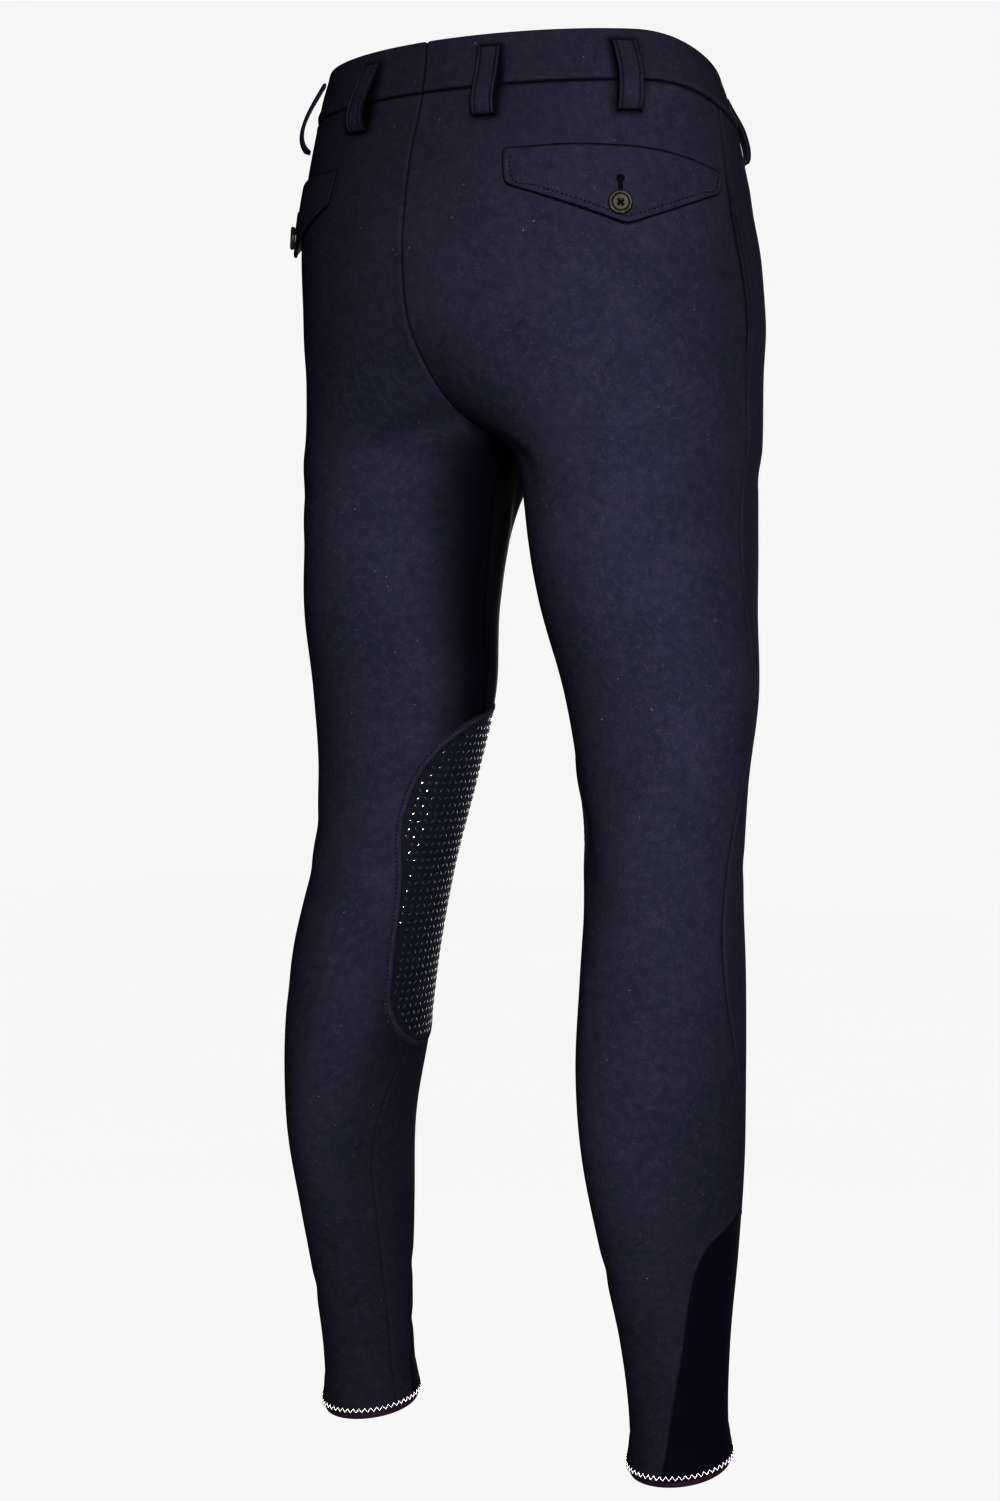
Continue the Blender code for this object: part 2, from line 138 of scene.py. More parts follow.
# How far the ankle panel reaches to each side of the side seam, as an angle.
ANKLE_PANEL = (
    *(At(-742, 0), At(-746, 9), At(-757, 37), At(-770, 52), At(-790, 62), At(-830, 77), At(-870, 95)),
    At(-912, 113),
)


class Place(NamedTuple):
    """A place on the form."""

    angle: float
    height: float


class Frame(NamedTuple):
    """A point of the cloth in metres, with the directions round the leg, up and straight out of the cloth."""

    point: Vector
    around: Vector
    up: Vector
    out: Vector


class Section(NamedTuple):
    """The form at one height, in millimetres."""

    half: float
    centre: float
    middle: float
    front: float
    back: float
    power: float
    cosine: float
    sine: float
    dip: float
    rise: float


def ease(start: float, end: float, value: float) -> float:
    """A smooth step from 0 at start to 1 at end."""
    step = min(max((value - start) / (end - start), 0.0), 1.0)
    return step * step * (3.0 - 2.0 * step)


def mix(start: float, end: float, part: float) -> float:
    """The value a part of the way from start to end."""
    return start + (end - start) * part


def hump(value: float, middle: float, width: float) -> float:
    """A soft bump, 1 at its middle and near 0 at twice its width."""
    return math.exp(-(((value - middle) / width) ** 2))


def rounded(distance: float, radius: float) -> float:
    """How far a face falls back beside its rounded edge.

    Args:
        distance: How far the point is from the edge.
        radius: The edge's radius.

    Returns:
        The fall, which is 0 past the radius.
    """
    if distance >= radius:
        return 0.0
    return radius - math.sqrt(radius**2 - (radius - max(distance, 0.0)) ** 2)


def read(table: Sequence, height: float, column: str = "value") -> float:
    """The value of one column at a height, on a smooth curve through the rows.

    Args:
        table: Rows with a height each, running downwards.
        height: Where to read it.
        column: The column's name.

    Returns:
        The value there.
    """
    last = len(table) - 1
    row = 0
    while row < last - 1 and height < table[row + 1].height:
        row += 1
    values = [getattr(line, column) for line in table]
    heights = [line.height for line in table]

    def slope(at: int) -> float:
        """The curve's slope at a row, from the rows beside it."""
        before, after = max(at - 1, 0), min(at + 1, last)
        return (values[after] - values[before]) / (heights[after] - heights[before])

    run = heights[row + 1] - heights[row]
    part = min(max((height - heights[row]) / run, 0.0), 1.0)
    squared, cubed = part**2, part**3
    return (
        (2 * cubed - 3 * squared + 1) * values[row]
        + (cubed - 2 * squared + part) * run * slope(row)
        + (3 * squared - 2 * cubed) * values[row + 1]
        + (cubed - squared) * run * slope(row + 1)
    )


@dataclass(frozen=True)
class Crease:
    """A soft trough, or a ridge where its depth is below 0, that lies across the cloth.

    Its middle is at an angle and a height. Lean turns it from level, in degrees, and bend bows its line.
    """

    side: Side
    angle: float
    height: float
    length: float
    width: float
    depth: float
    lean: float = 0.0
    bend: float = 0.0

    def reach(self) -> float:
        """How far above and below its middle it can be felt."""
        return self.length + abs(self.bend) + 3 * self.width

    def at(self, across: float, rise: float) -> float:
        """Its depth at a point.

        Args:
            across: How far round the leg the point is from the crease's middle.
            rise: How far above its middle the point is.

        Returns:
            The depth there.
        """
        lean = math.radians(self.lean)
        along = (across * math.cos(lean) + rise * math.sin(lean)) / (self.length / 2)
        if abs(along) > 2.2:
            return 0.0
        aside = rise * math.cos(lean) - across * math.sin(lean) - self.bend * along**2
        return self.depth * math.exp(-((aside / self.width) ** 2) - along**4)


L, R = Side.LEFT, Side.RIGHT
CREASES = tuple(
    Crease(*row)
    for row in (
        # under the seat
        (R, -38, -247, 74, 11, 3.0, -28, -8),
        (R, 10, -283, 92, 16, 2.2, -7, -5),
        (L, -30, -236, 66, 11, 3.0, -30, -7),
        (L, 22, -262, 96, 15, 2.6, -16, -6),
        (L, 66, -300, 52, 13, 2.0, 12),
        (R, 70, -322, 44, 12, 1.2, -14),
        # drag lines from the crotch down the inner thighs
        (R, -62, -285, 74, 9, 2.0, -58, 5),
        (L, -66, -279, 64, 8, 2.2, -62, 4),
        (R, -96, -300, 60, 8, 1.6, -80),
        (L, -100, -305, 70, 9, 1.5, -84),
        (R, -120, -282, 62, 8, 2.0, -128, 4),
        (L, -118, -276, 54, 8, 2.3, -124, 4),
        # front of the hips
        (R, 196, -214, 62, 8, 2.2, 36, 5),
        (L, 192, -206, 56, 7, 2.0, 33, 4),
        (R, 178, -240, 78, 10, 2.4, 22, 6),
        (L, 176, -236, 88, 10, 2.2, 20, 7),
        (R, 150, -262, 70, 12, 1.6, 10, 4),
        (L, 146, -270, 62, 12, 1.8, 12, 4),
        (R, 136, -74, 48, 9, 1.0, -16),
        (L, 141, -81, 40, 9, 1.1, -14),
        # back of the knees
        (R, -30, -505, 66, 12, 2.4, -70, 4),
        (R, 22, -472, 60, 8, 1.5, -12, -3),
        (R, 14, -497, 82, 10, 1.9, 6, 4),
        (R, 26, -524, 54, 8, 1.2, 14, 3),
        (L, 18, -481, 64, 9, 1.5, -9, -3),
        (L, 26, -508, 76, 10, 2.0, 5, 4),
        (L, 74, -618, 44, 10, 1.7, -4),
        (L, 36, -545, 48, 8, 1.2, 18, 3),
        # over and under the kneecaps
        (R, 178, -448, 62, 10, 1.5, 5, 6),
        (L, 174, -456, 56, 10, 1.6, -5, 6),
        (R, 182, -540, 54, 9, 1.7, -4, -7),
        (L, 186, -533, 60, 9, 1.5, 6, -7),
        (R, 150, -512, 40, 8, 1.2, 35),
        (L, 148, -505, 36, 8, 1.2, 40),
        # calves and ankles
        (R, -22, -778, 30, 8, 1.1, -6),
        (R, -8, -820, 28, 7, 0.9, 10),
        (R, -62, -800, 30, 9, 0.4, 4),
        (R, 30, -846, 40, 8, 0.9, -8),
        (L, -18, -792, 38, 8, 1.2, 8),
        (L, -52, -838, 30, 7, 1.3, -8),
        (L, 34, -826, 36, 8, 1.0, 6),
        (R, 196, -800, 36, 7, 1.3, 6),
        (L, 190, -811, 40, 7, 1.2, -8),
        (R, 206, -846, 30, 6, 1.1, -6),
        (L, 212, -852, 28, 6, 1.0, 8),
        # soft hollows and swells of the muscles
        (R, 40, -380, 190, 26, 1.6, 84),
        (L, 44, -392, 170, 24, 1.5, 82),
        (R, -16, -640, 150, 18, -1.3, 88),
        (L, -10, -652, 140, 18, -1.3, 88),
        (R, 128, -380, 200, 26, 1.2, 92),
        (L, 126, -388, 190, 26, 1.2, 92),
    )
)


@dataclass(frozen=True)
class Form:
    """The body under the cloth, made for the left half and mirrored for the right."""

    gap: float = 0.3
    waist_top: float = 17.0
    waist_seam: float = -17.0
    seat_parts: float = -140.0
    crotch: float = -240.0
    ankle_panel_top: float = -742.0
    hem: float = -905.0
    toes_out: float = 10.0
    waist_dip: float = 24.0
    hem_rise: float = 0.2
    left_twist: float = 28.0
    middle_slit: float = 0.03
    creases: tuple[Crease, ...] = CREASES
    sections: dict[float, Section] = field(default_factory=dict)
    near: dict[tuple[Side, float], list[Crease]] = field(default_factory=dict)
    faces: dict[tuple[Side, float, float], tuple[Vector, Vector]] = field(default_factory=dict)

    def parting(self, height: float) -> float:
        """How far the seat has parted into two legs: 0 where it is whole, 1 at the crotch."""
        down = (self.seat_parts - height) / (self.seat_parts - self.crotch)
        return min(max(down, 0.0), 1.0) ** 2

    def section(self, height: float) -> Section:
        """The form at one height, which is worked out once.

        Args:
            height: The height.

        Returns:
            The form there.
        """
        key = round(height, 4)
        if key not in self.sections:
            outer = read(BODY, height, "outer")
            middle = read(BODY, height, "middle")
            half = outer / (1 + self.parting(height))
            if height < self.crotch:
                half = (outer - read(INNER_LEG, height)) / 2
            turn = math.radians(self.toes_out * ease(self.crotch, self.crotch - 90, height))
            self.sections[key] = Section(
                half=half,
                centre=outer - half,
                middle=middle,
                front=read(BODY, height, "front") - middle,
                back=read(BODY, height, "back") - middle,
                power=2.0 / read(BODY, height, "square"),
                cosine=math.cos(turn),
                sine=math.sin(turn),
                dip=self.waist_dip * ease(-110, self.waist_seam, height),
                rise=self.hem_rise * ease(-840, -900, height),
            )
        return self.sections[key]

    def on_body(self, height: float, angle: float) -> Vector:
        """The point of the left half's outer face at a height and an angle, in millimetres.

        Args:
            height: Its height.
            angle: Its angle.

        Returns:
            The point.
        """
        cut = self.section(height)
        sine, cosine = math.sin(math.radians(angle)), math.cos(math.radians(angle))
        if cosine < 0:
            across = cut.half * math.copysign(abs(sine) ** cut.power, sine)
            along = cut.front * abs(cosine) ** cut.power
        else:
            across = cut.half * sine
            along = cut.back * cosine
        x = cut.centre + across * cut.cosine - along * cut.sine
        y = cut.middle + across * cut.sine + along * cut.cosine
        return Vector((x, y, height - cut.dip * ease(50, -50, y) - cut.rise * (y - cut.middle)))

    def outward(self, height: float, angle: float) -> Vector:
        """The direction straight out of the left half's cloth."""
        small = 0.05
        around = self.on_body(height, angle + small) - self.on_body(height, angle - small)
        up = self.on_body(height + small, angle) - self.on_body(height - small, angle)
        return around.cross(up).normalized() * -1

    def girth_step(self, height: float) -> float:
        """The average length of cloth over one degree at a height."""
        cut = self.section(height)
        return math.radians(1) * (2 * cut.half + cut.back - cut.front) / 4

    def degrees_for(self, height: float, angle: float, length: float) -> float:
        """The angle that covers a length along the cloth."""
        step = 0.5
        return length * step / (self.on_body(height, angle + step) - self.on_body(height, angle)).length

    def crease_depth(self, side: Side, height: float, angle: float) -> float:
        """How deep the creases are at a point, all of them together.

        Args:
            side: The half of the garment.
            height: The height.
            angle: The angle round the leg.

        Returns:
            The depth.
        """
        key = (side, height)
        if key not in self.near:
            self.near[key] = [
                crease
                for crease in self.creases
                if crease.side is side and abs(height - crease.height) < crease.reach()
            ]
        step = self.girth_step(height)
        total = 0.0
        for crease in self.near[key]:
            turn = (angle - crease.angle + 180.0) % 360.0 - 180.0
            total += crease.at(turn * step, height - crease.height)
        return total

    def face(self, side: Side, height: float, angle: float) -> tuple[Vector, Vector]:
        """The creased cloth's outer face at a point of the left half, and the direction out of it.

        Args:
            side: The half of the garment.
            height: The height.
            angle: The angle round the leg.

        Returns:
            The point, in millimetres, and the direction.
        """
        key = (side, height, angle)
        if key not in self.faces:
            turned = angle + (self.left_twist * ease(-600, -760, height) if side is Side.LEFT else 0.0)
            out = self.outward(height, turned)
            point = self.on_body(height, turned) - out * self.crease_depth(side, height, angle)
            self.faces[key] = (point, out)
        return self.faces[key]

    def laid(self, side: Side, height: float, angle: float, lift: float = 0.0) -> Vector:
        """A point of cloth over the form.

        Args:
            side: The half it is on.
            height: Its height.
            angle: Its angle, before the left leg's twist.
            lift: How far it stands off the cloth's outer face.

        Returns:
            The point, in metres.
        """
        face, out = self.face(side, height, angle)
        point = face + out * lift
        if height >= self.crotch:
            point.x = max(point.x, self.middle_slit)
        return Vector((point.x * side.value, point.y, point.z)) * MM

    def row(self, side: Side, height: float, angles: Sequence[float], lifts: Sequence[float]) -> Points:
        """A row of points of cloth at one height.

        Args:
            side: The half they are on.
            height: Their height.
            angles: The angle of each.
            lifts: How far each stands off the cloth's outer face.

        Returns:
            The points, in metres.
        """
        return [self.laid(side, height, angle, lift) for angle, lift in zip(angles, lifts)]

    def frame(self, side: Side, height: float, angle: float, lift: float = 0.0) -> Frame:
        """A point of cloth over the form, with the directions there.

        Args:
            side: The half of the garment.
            height: The height.
            angle: The angle round the leg.
            lift: How far it stands off the cloth's outer face.

        Returns:
            The point and its directions.
        """
        step = 0.4
        point = self.laid(side, height, angle, lift)
        wide = self.laid(side, height, angle + step) - self.laid(side, height, angle - step)
        tall = self.laid(side, height + step, angle) - self.laid(side, height - step, angle)
        around, up = wide.normalized(), tall.normalized()
        return Frame(point, around, up, around.cross(up).normalized() * -side.value)

    def centre_back(self, height: float) -> float:
        """Where the back panel starts: at the seat seam, then at the inner leg seam."""
        if height > self.crotch:
            return -math.degrees(math.asin(self.parting(height)))
        return -90.0

    def centre_front(self, height: float) -> float:
        """Where the front panel ends: at the rise seam, then at the inner leg seam."""
        if height > self.crotch:
            square = read(BODY, height, "square")
            return 180.0 + math.degrees(math.asin(self.parting(height) ** (square / 2)))
        return 270.0

    def ankle_reach(self, height: float) -> float:
        """Half the ankle panel's width as an angle."""
        return read(ANKLE_PANEL, height) if height < self.ankle_panel_top else 0.0

    def rear_edge(self, height: float) -> float:
        """The back panel's outer edge: the side seam, then the ankle panel's rear edge."""
        return read(SIDE_SEAM, height) - self.ankle_reach(height)

    def fore_edge(self, height: float) -> float:
        """The front panel's outer edge: the side seam, then the ankle panel's front edge."""
        return read(SIDE_SEAM, height) + self.ankle_reach(height)


# ---- Making meshes and pieces ----


def running(points: Points) -> list[float]:
    """The length along a line of points, up to each of them."""
    lengths = [0.0]
    for here, there in zip(points, points[1:]):
        lengths.append(lengths[-1] + (there - here).length)
    return lengths


def unroll(rows: Rows) -> Flat:
    """Where each point of a sheet lies when it is laid flat.

    Args:
        rows: The sheet's points, row by row, in metres.

    Returns:
        The flat places in metres, measured along each row from its middle, and down the middle column.
    """
    middle = len(rows[0]) // 2
    flat = []
    down = 0.0
    for index, row in enumerate(rows):
        if index:
            down += (row[middle] - rows[index - 1][middle]).length
        lengths = running(row)
        flat.append([(length - lengths[middle], -down) for length in lengths])
    return flat


def grid_cells(mesh: BMesh, columns: int, rows: int) -> dict[BMVert, tuple[int, int]]:
    """The row and column of each corner of a fresh grid of size 0.5.

    Args:
        mesh: The grid.
        columns: How many columns it has.
        rows: How many rows.

    Returns:
        The row and column of each corner.
    """
    return {
        vert: (round((0.5 - vert.co.y) * rows), round((vert.co.x + 0.5) * columns))
        for vert in mesh.verts
    }


def lay_flat(
    mesh: BMesh, cells: dict[BMVert, tuple[int, int]], flat: Flat
) -> None:
    """Gives a grid its UV map, in metres along the cloth.

    Args:
        mesh: The grid.
        cells: The row and column of each corner.
        flat: The flat place of each.
    """
    unrolled = mesh.loops.layers.uv.new("cloth")
    for face in mesh.faces:
        for loop in face.loops:
            row, column = cells[loop.vert]
            loop[unrolled].uv = flat[row][column]


def slab(outer: Rows, inner: Rows, shades: Shades | None = None) -> BMesh:
    """A closed slab of cloth.

    Args:
        outer: The points of its outer face, row by row, in metres.
        inner: The points of its inner face, in the same order.
        shades: How much darker each point of the outer face is, from 0 to 1.

    Returns:
        The slab, with its UV map and its shades.
    """
    rows, columns = len(outer) - 1, len(outer[0]) - 1
    cloth = bmesh.new()
    shade = cloth.verts.layers.float.new(SHADE)
    bmesh.ops.create_grid(cloth, x_segments=columns, y_segments=rows, size=0.5)
    whole = bmesh.ops.extrude_face_region(cloth, geom=cloth.faces[:], use_keep_orig=True)
    far = {part for part in whole["geom"] if isinstance(part, BMVert)}
    cells = grid_cells(cloth, columns, rows)
    lay_flat(cloth, cells, unroll(outer))
    for vert, (row, column) in cells.items():
        vert.co = (inner if vert in far else outer)[row][column]
        if shades and vert not in far:
            vert[shade] = shades[row][column]
    return cloth


def closed_band(
    loops: Rows, shades: Shades | None = None, flat: Flat | None = None
) -> BMesh:
    """A closed ring of cloth.

    Args:
        loops: Loops of points that go round the leg and end where they start. They follow one another round
            the band's section, and the last is the first again.
        shades: How much darker each point is, from 0 to 1.
        flat: Where each point lies in the flat, where that isn't measured along the loops.

    Returns:
        The band, with its UV map and its shades.
    """
    rows, columns = len(loops) - 1, len(loops[0]) - 1
    band = bmesh.new()
    shade = band.verts.layers.float.new(SHADE)
    bmesh.ops.create_grid(band, x_segments=columns, y_segments=rows, size=0.5)
    cells = grid_cells(band, columns, rows)
    lay_flat(band, cells, flat or unroll(loops))
    for vert, (row, column) in cells.items():
        vert.co = loops[row][column]
        if shades:
            vert[shade] = shades[row][column]
    bmesh.ops.remove_doubles(band, verts=band.verts, dist=0.00000005)
    return band


def make_piece(
    name: str,
    mesh_data: BMesh,
    finish: Material,
    nodes: Sequence[str] = (),
    sharp: float = 60.0,
) -> Object:
    """Turns a mesh into a piece of the garment.

    Args:
        name: The piece's name.
        mesh_data: Its mesh, which is used up.
        finish: Its material.
        nodes: The solids that it stands for.
        sharp: The angle from which an edge stays sharp, in degrees.

    Returns:
        The piece, riding on the garment.
    """
    bmesh.ops.recalc_face_normals(mesh_data, faces=mesh_data.faces)
    if mesh_data.calc_volume(signed=True) < 0:
        bmesh.ops.reverse_faces(mesh_data, faces=mesh_data.faces)
    mesh = bpy.data.meshes.new(name)
    mesh_data.to_mesh(mesh)
    mesh_data.free()
    mesh.shade_smooth()
    mesh.set_sharp_from_angle(angle=math.radians(sharp))
    mesh.materials.append(finish)
    piece = bpy.data.objects.new(name, mesh)
    bpy.context.scene.collection.objects.link(piece)
    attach(piece, "root")
    if nodes:
        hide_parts(*nodes)
    LOG.info("%s: %d faces", name, len(mesh.polygons))
    return piece


def basis(across: Vector, along: Vector, out: Vector, place: Vector, size: Vector) -> Matrix:
    """A matrix that turns, stretches and places a unit shape."""
    turn = Matrix((across * size.x, along * size.y, out * size.z)).transposed().to_4x4()
    return Matrix.Translation(place) @ turn


class Bead:
    """A small round shape that is set down many times over, stretched and turned each time."""

    def __init__(self, sides: int, rings: int) -> None:
        """Makes the shape, 1 across its radius."""
        ball = bmesh.new()
        bmesh.ops.create_uvsphere(ball, u_segments=sides, v_segments=rings, radius=1.0)
        self.shape = bpy.data.meshes.new("bead")
        ball.to_mesh(self.shape)
        ball.free()

    def press(self, mesh: BMesh, stand: Matrix) -> None:
        """Adds one to a mesh.

        Args:
            mesh: The mesh.
            stand: Where it goes, and how it is turned and stretched.
        """
        copy = self.shape.copy()
        copy.transform(stand)
        mesh.from_mesh(copy)
        bpy.data.meshes.remove(copy)


@dataclass(frozen=True)
class Needle:
    """A row of separate stitches, each a small rounded bar of thread."""

    length: float = 1.6
    gap: float = 1.5
    radius: float = 0.55
    sides: int = 6

    def sew(self, mesh: BMesh, path: Sequence[Frame]) -> int:
        """Sews along a path.

        Args:
            mesh: The mesh that takes the stitches.
            path: Frames along the stitch line, close together.

        Returns:
            The number of stitches.
        """
        bead = Bead(self.sides, 4)
        pitch = (self.length + self.gap) * MM
        walked, due, count = 0.0, pitch / 2, 0
        for here, there in zip(path, path[1:]):
            step = there.point - here.point
            while due <= walked + step.length:
                part = (due - walked) / step.length
                tangent = step.normalized()
                out = here.out.lerp(there.out, part).normalized()
                size = Vector((self.radius, self.radius * 0.8, self.length / 2)) * MM
                place = here.point.lerp(there.point, part)
                stand = basis(tangent.cross(out).normalized(), out, tangent, place, size)
                bead.press(mesh, stand)
                due += pitch
                count += 1
            walked += step.length
        return count


def thread_tube(lines: Sequence[Points], radius: float, closed: bool) -> BMesh:
    """Round thread along lines of points.

    Args:
        lines: The lines, in metres.
        radius: The thread's radius in millimetres.
        closed: Whether each line joins its own start.

    Returns:
        The thread's mesh.
    """
    guide = bpy.data.curves.new("guide", "CURVE")
    guide.dimensions = "3D"
    guide.bevel_depth = radius * MM
    guide.bevel_resolution = 1
    guide.use_fill_caps = True
    for line in lines:
        spline = guide.splines.new("POLY")
        spline.points.add(len(line) - 1)
        for point, place in zip(spline.points, line):
            point.co = (*place, 1.0)
        spline.use_cyclic_u = closed
    holder = bpy.data.objects.new("guide", guide)
    bpy.context.scene.collection.objects.link(holder)
    seen = holder.evaluated_get(bpy.context.evaluated_depsgraph_get())
    tube = bmesh.new()
    tube.from_mesh(seen.to_mesh())
    seen.to_mesh_clear()
    bpy.data.objects.remove(holder)
    bpy.data.curves.remove(guide)
    bmesh.ops.remove_doubles(tube, verts=tube.verts, dist=0.0000005)
    return tube


# ---- Finishes ----


class Wire:
    """A shader socket that takes part in sums, so that wire * 2 + 1 adds the Math nodes."""

    def __init__(self, paint: Paint, socket: bpy.types.NodeSocket) -> None:
        """Keeps the socket and the finish it belongs to."""
        self.paint = paint
        self.socket = socket

    def join(self, operation: str, first: Number, second: Number) -> Wire:
        """Adds one Math node."""
        return self.paint.node("Math", {"operation": operation}, {0: first, 1: second})

    def __add__(self, other: Number) -> Wire:
        """Self plus other."""
        return self.join("ADD", self, other)

    def __sub__(self, other: Number) -> Wire:
        """Self less other."""
        return self.join("SUBTRACT", self, other)

    def __rsub__(self, other: Number) -> Wire:
        """Other less self."""
        return self.join("SUBTRACT", other, self)

    def __mul__(self, other: Number) -> Wire:
        """Self times other."""
        return self.join("MULTIPLY", self, other)

    def __lt__(self, other: Number) -> Wire:
        """1 where self is less than other, and 0 elsewhere."""
        return self.join("LESS_THAN", self, other)

    def __gt__(self, other: Number) -> Wire:
        """1 where self is more than other, and 0 elsewhere."""
        return self.join("GREATER_THAN", self, other)

    def distance(self, other: Number) -> Wire:
        """How far self is from other."""
        return self.join("ABSOLUTE", self - other, 0.0)

    __radd__ = __add__
    __rmul__ = __mul__


Number = Union[Wire, float]


class Paint:
    """The node tree of one finish."""

    def __init__(self, name: str) -> None:
        """Starts an empty finish with its shader."""
        self.material = bpy.data.materials.new(name)
        self.material.use_nodes = True
        self.tree = self.material.node_tree
        self.shader = self.tree.nodes["Principled BSDF"]

    def node(
        self, kind: str, settings: dict | None = None, sockets: dict | None = None, out: int = 0
    ) -> Wire:
        """Adds a node.

        Args:
            kind: The node's type without ShaderNode.
            settings: Its own settings.
            sockets: Values or wires for its inputs, by name or number.
            out: Which of its outputs to give back.

        Returns:
            The output.
        """
        made = self.tree.nodes.new("ShaderNode" + kind)
        for key, value in (settings or {}).items():
            setattr(made, key, value)
        for key, value in (sockets or {}).items():
            self.put(made.inputs[key], value)
        return Wire(self, made.outputs[out])

    def put(self, socket: bpy.types.NodeSocket, value: Number | Colour) -> None:
        """Links a wire to a socket, or sets the socket's own value.

        Args:
            socket: The socket.
            value: The wire or the value.
        """
        if isinstance(value, Wire):
            self.tree.links.new(value.socket, socket)
        elif socket.type == "RGBA":
            socket.default_value = (*value, 1.0)
        else:
            socket.default_value = value

    def set(self, **sockets: Number | Colour) -> None:
        """Sets the shader's own sockets, with an underscore for each space of their names."""
        for key, value in sockets.items():
            self.put(self.shader.inputs[key.replace("_", " ")], value)

    def cloth_map(self) -> Wire:
        """The piece's UV map, in metres along the cloth."""
        return self.node("TexCoord", out=2)

    def shade(self) -> Wire:
        """The painted shade of the piece at a point: how much darker it is made, as in a seam's groove."""
        return self.node("Attribute", {"attribute_name": SHADE}, out=2)

    def object_map(self) -> Wire:
        """The place on the garment, in metres."""
        return self.node("TexCoord", out=3)

    def noise(self, where: Wire, size: float, detail: float = 2.0, distortion: float = 0.0) -> Wire:
        """Soft noise with spots of a size in millimetres."""
        sockets = {"Vector": where, "Scale": 1 / (size * MM), "Detail": detail, "Distortion": distortion}
        return self.node("TexNoise", {}, sockets)

    def ribs(self, where: Wire, size: float, direction: str, **sockets: float) -> Wire:
        """Even ribs, a size apart in millimetres."""
        settings = {"wave_type": "BANDS", "bands_direction": direction, "wave_profile": "SIN"}
        sockets |= {"Vector": where, "Scale": RIBS_TO_SCALE / (size * MM)}
        return self.node("TexWave", settings, sockets, out=1)

    def stretch(self, where: Wire, across: float, along: float) -> Wire:
        """The same map scaled across and along."""
        return self.node("Mapping", {}, {"Vector": where, "Scale": (across, along, 1.0)})

    def blend(self, factor: Number, first: Wire | Colour, second: Wire | Colour) -> Wire:
        """A mix of two colours."""
        return self.node("Mix", {"data_type": "RGBA"}, {0: factor, 6: first, 7: second}, out=2)

    def bump(self, height: Wire, distance: float, strength: float = 1.0) -> Wire:
        """A bump from a height map, as deep as a distance in millimetres."""
        return self.node("Bump", {}, {"Height": height, "Distance": distance * MM, "Strength": strength})


@dataclass(frozen=True)
class StretchCloth:
    """Dense stretch cloth with a short brushed nap, mottled, with short fibres and specks of lint."""

    name: str
    deep: Colour = (0.0052, 0.0058, 0.0124)
    light: Colour = (0.0126, 0.0124, 0.0232)
    fibre: Colour = (0.034, 0.032, 0.044)
    lint: Colour = (0.14, 0.14, 0.16)
    shadow: Colour = (0.0004, 0.0005, 0.0016)
    gloss: float = 0.004
    grain_size: float = 1.0
    mottle_size: float = 6.0
    cloud_size: float = 38.0
    nap_height: float = 0.14

    def make(self) -> Material:
        """Builds the finish."""
        paint = Paint(self.name)
        where = paint.cloth_map()
        grain = paint.noise(where, self.grain_size, 3.0)
        mottle = paint.noise(where, self.mottle_size, 3.0, 0.6)
        cloud = paint.noise(where, self.cloud_size, 2.0)
        tone = (grain - 0.5) * 1.7 + (mottle - 0.5) * 0.9 + (cloud - 0.5) * 0.5 + 0.5
        colour = paint.blend(tone, self.deep, self.light)
        line = paint.noise(where, 3.6, 1.0, 2.4)
        piece = paint.noise(where, 2.6, 0.0)
        fibres = (line.distance(0.5) < 0.012) * (piece > 0.56) * (mottle > 0.47)
        colour = paint.blend(fibres * 0.55, colour, self.fibre)
        cell = {"Vector": where, "Scale": 1 / (9.0 * MM)}
        speck = paint.node("TexVoronoi", {"feature": "F1"}, cell)
        choice = paint.node("TexVoronoi", {"feature": "F1"}, cell, out=1)
        chosen = paint.node("SeparateColor", {}, {"Color": choice})
        specks = (speck < 0.035) * (chosen > 0.62)
        colour = paint.blend(specks * 0.7, colour, self.lint)
        colour = paint.blend(paint.shade(), colour, self.shadow)
        weave = paint.noise(where, 0.45, 2.0)
        relief = weave * 0.5 + grain * 0.9 + fibres * 0.5
        paint.set(
            Base_Color=colour,
            Roughness=grain * 0.16 + 0.62,
            Specular_IOR_Level=self.gloss,
            Normal=paint.bump(relief, self.nap_height),
        )
        return paint.material


@dataclass(frozen=True)
class SmoothElastic:
    """Smooth, nearly black elastic knit with fine ribs that run down the leg."""

    name: str
    deep: Colour = (0.0010, 0.0010, 0.0046)
    light: Colour = (0.0030, 0.0026, 0.0096)
    shadow: Colour = (0.0, 0.0, 0.001)
    rib_size: float = 0.9

    def make(self) -> Material:
        """Builds the finish."""
        paint = Paint(self.name)
        where = paint.cloth_map()
        rib = paint.ribs(where, self.rib_size, "X", Distortion=0.4, Detail=1.0)
        knit = paint.noise(paint.stretch(where, 1.0, 0.45), 0.5, 2.0)
        cloud = paint.noise(where, 16.0, 2.0)
        tone = rib * 0.3 + knit * 0.5 + cloud * 0.3 - 0.05
        paint.set(
            Base_Color=paint.blend(paint.shade(), paint.blend(tone, self.deep, self.light), self.shadow),
            Roughness=knit * 0.2 + 0.55,
            Specular_IOR_Level=0.01,
            Normal=paint.bump(rib * 0.6 + knit * 0.4, 0.07),
        )
        return paint.material


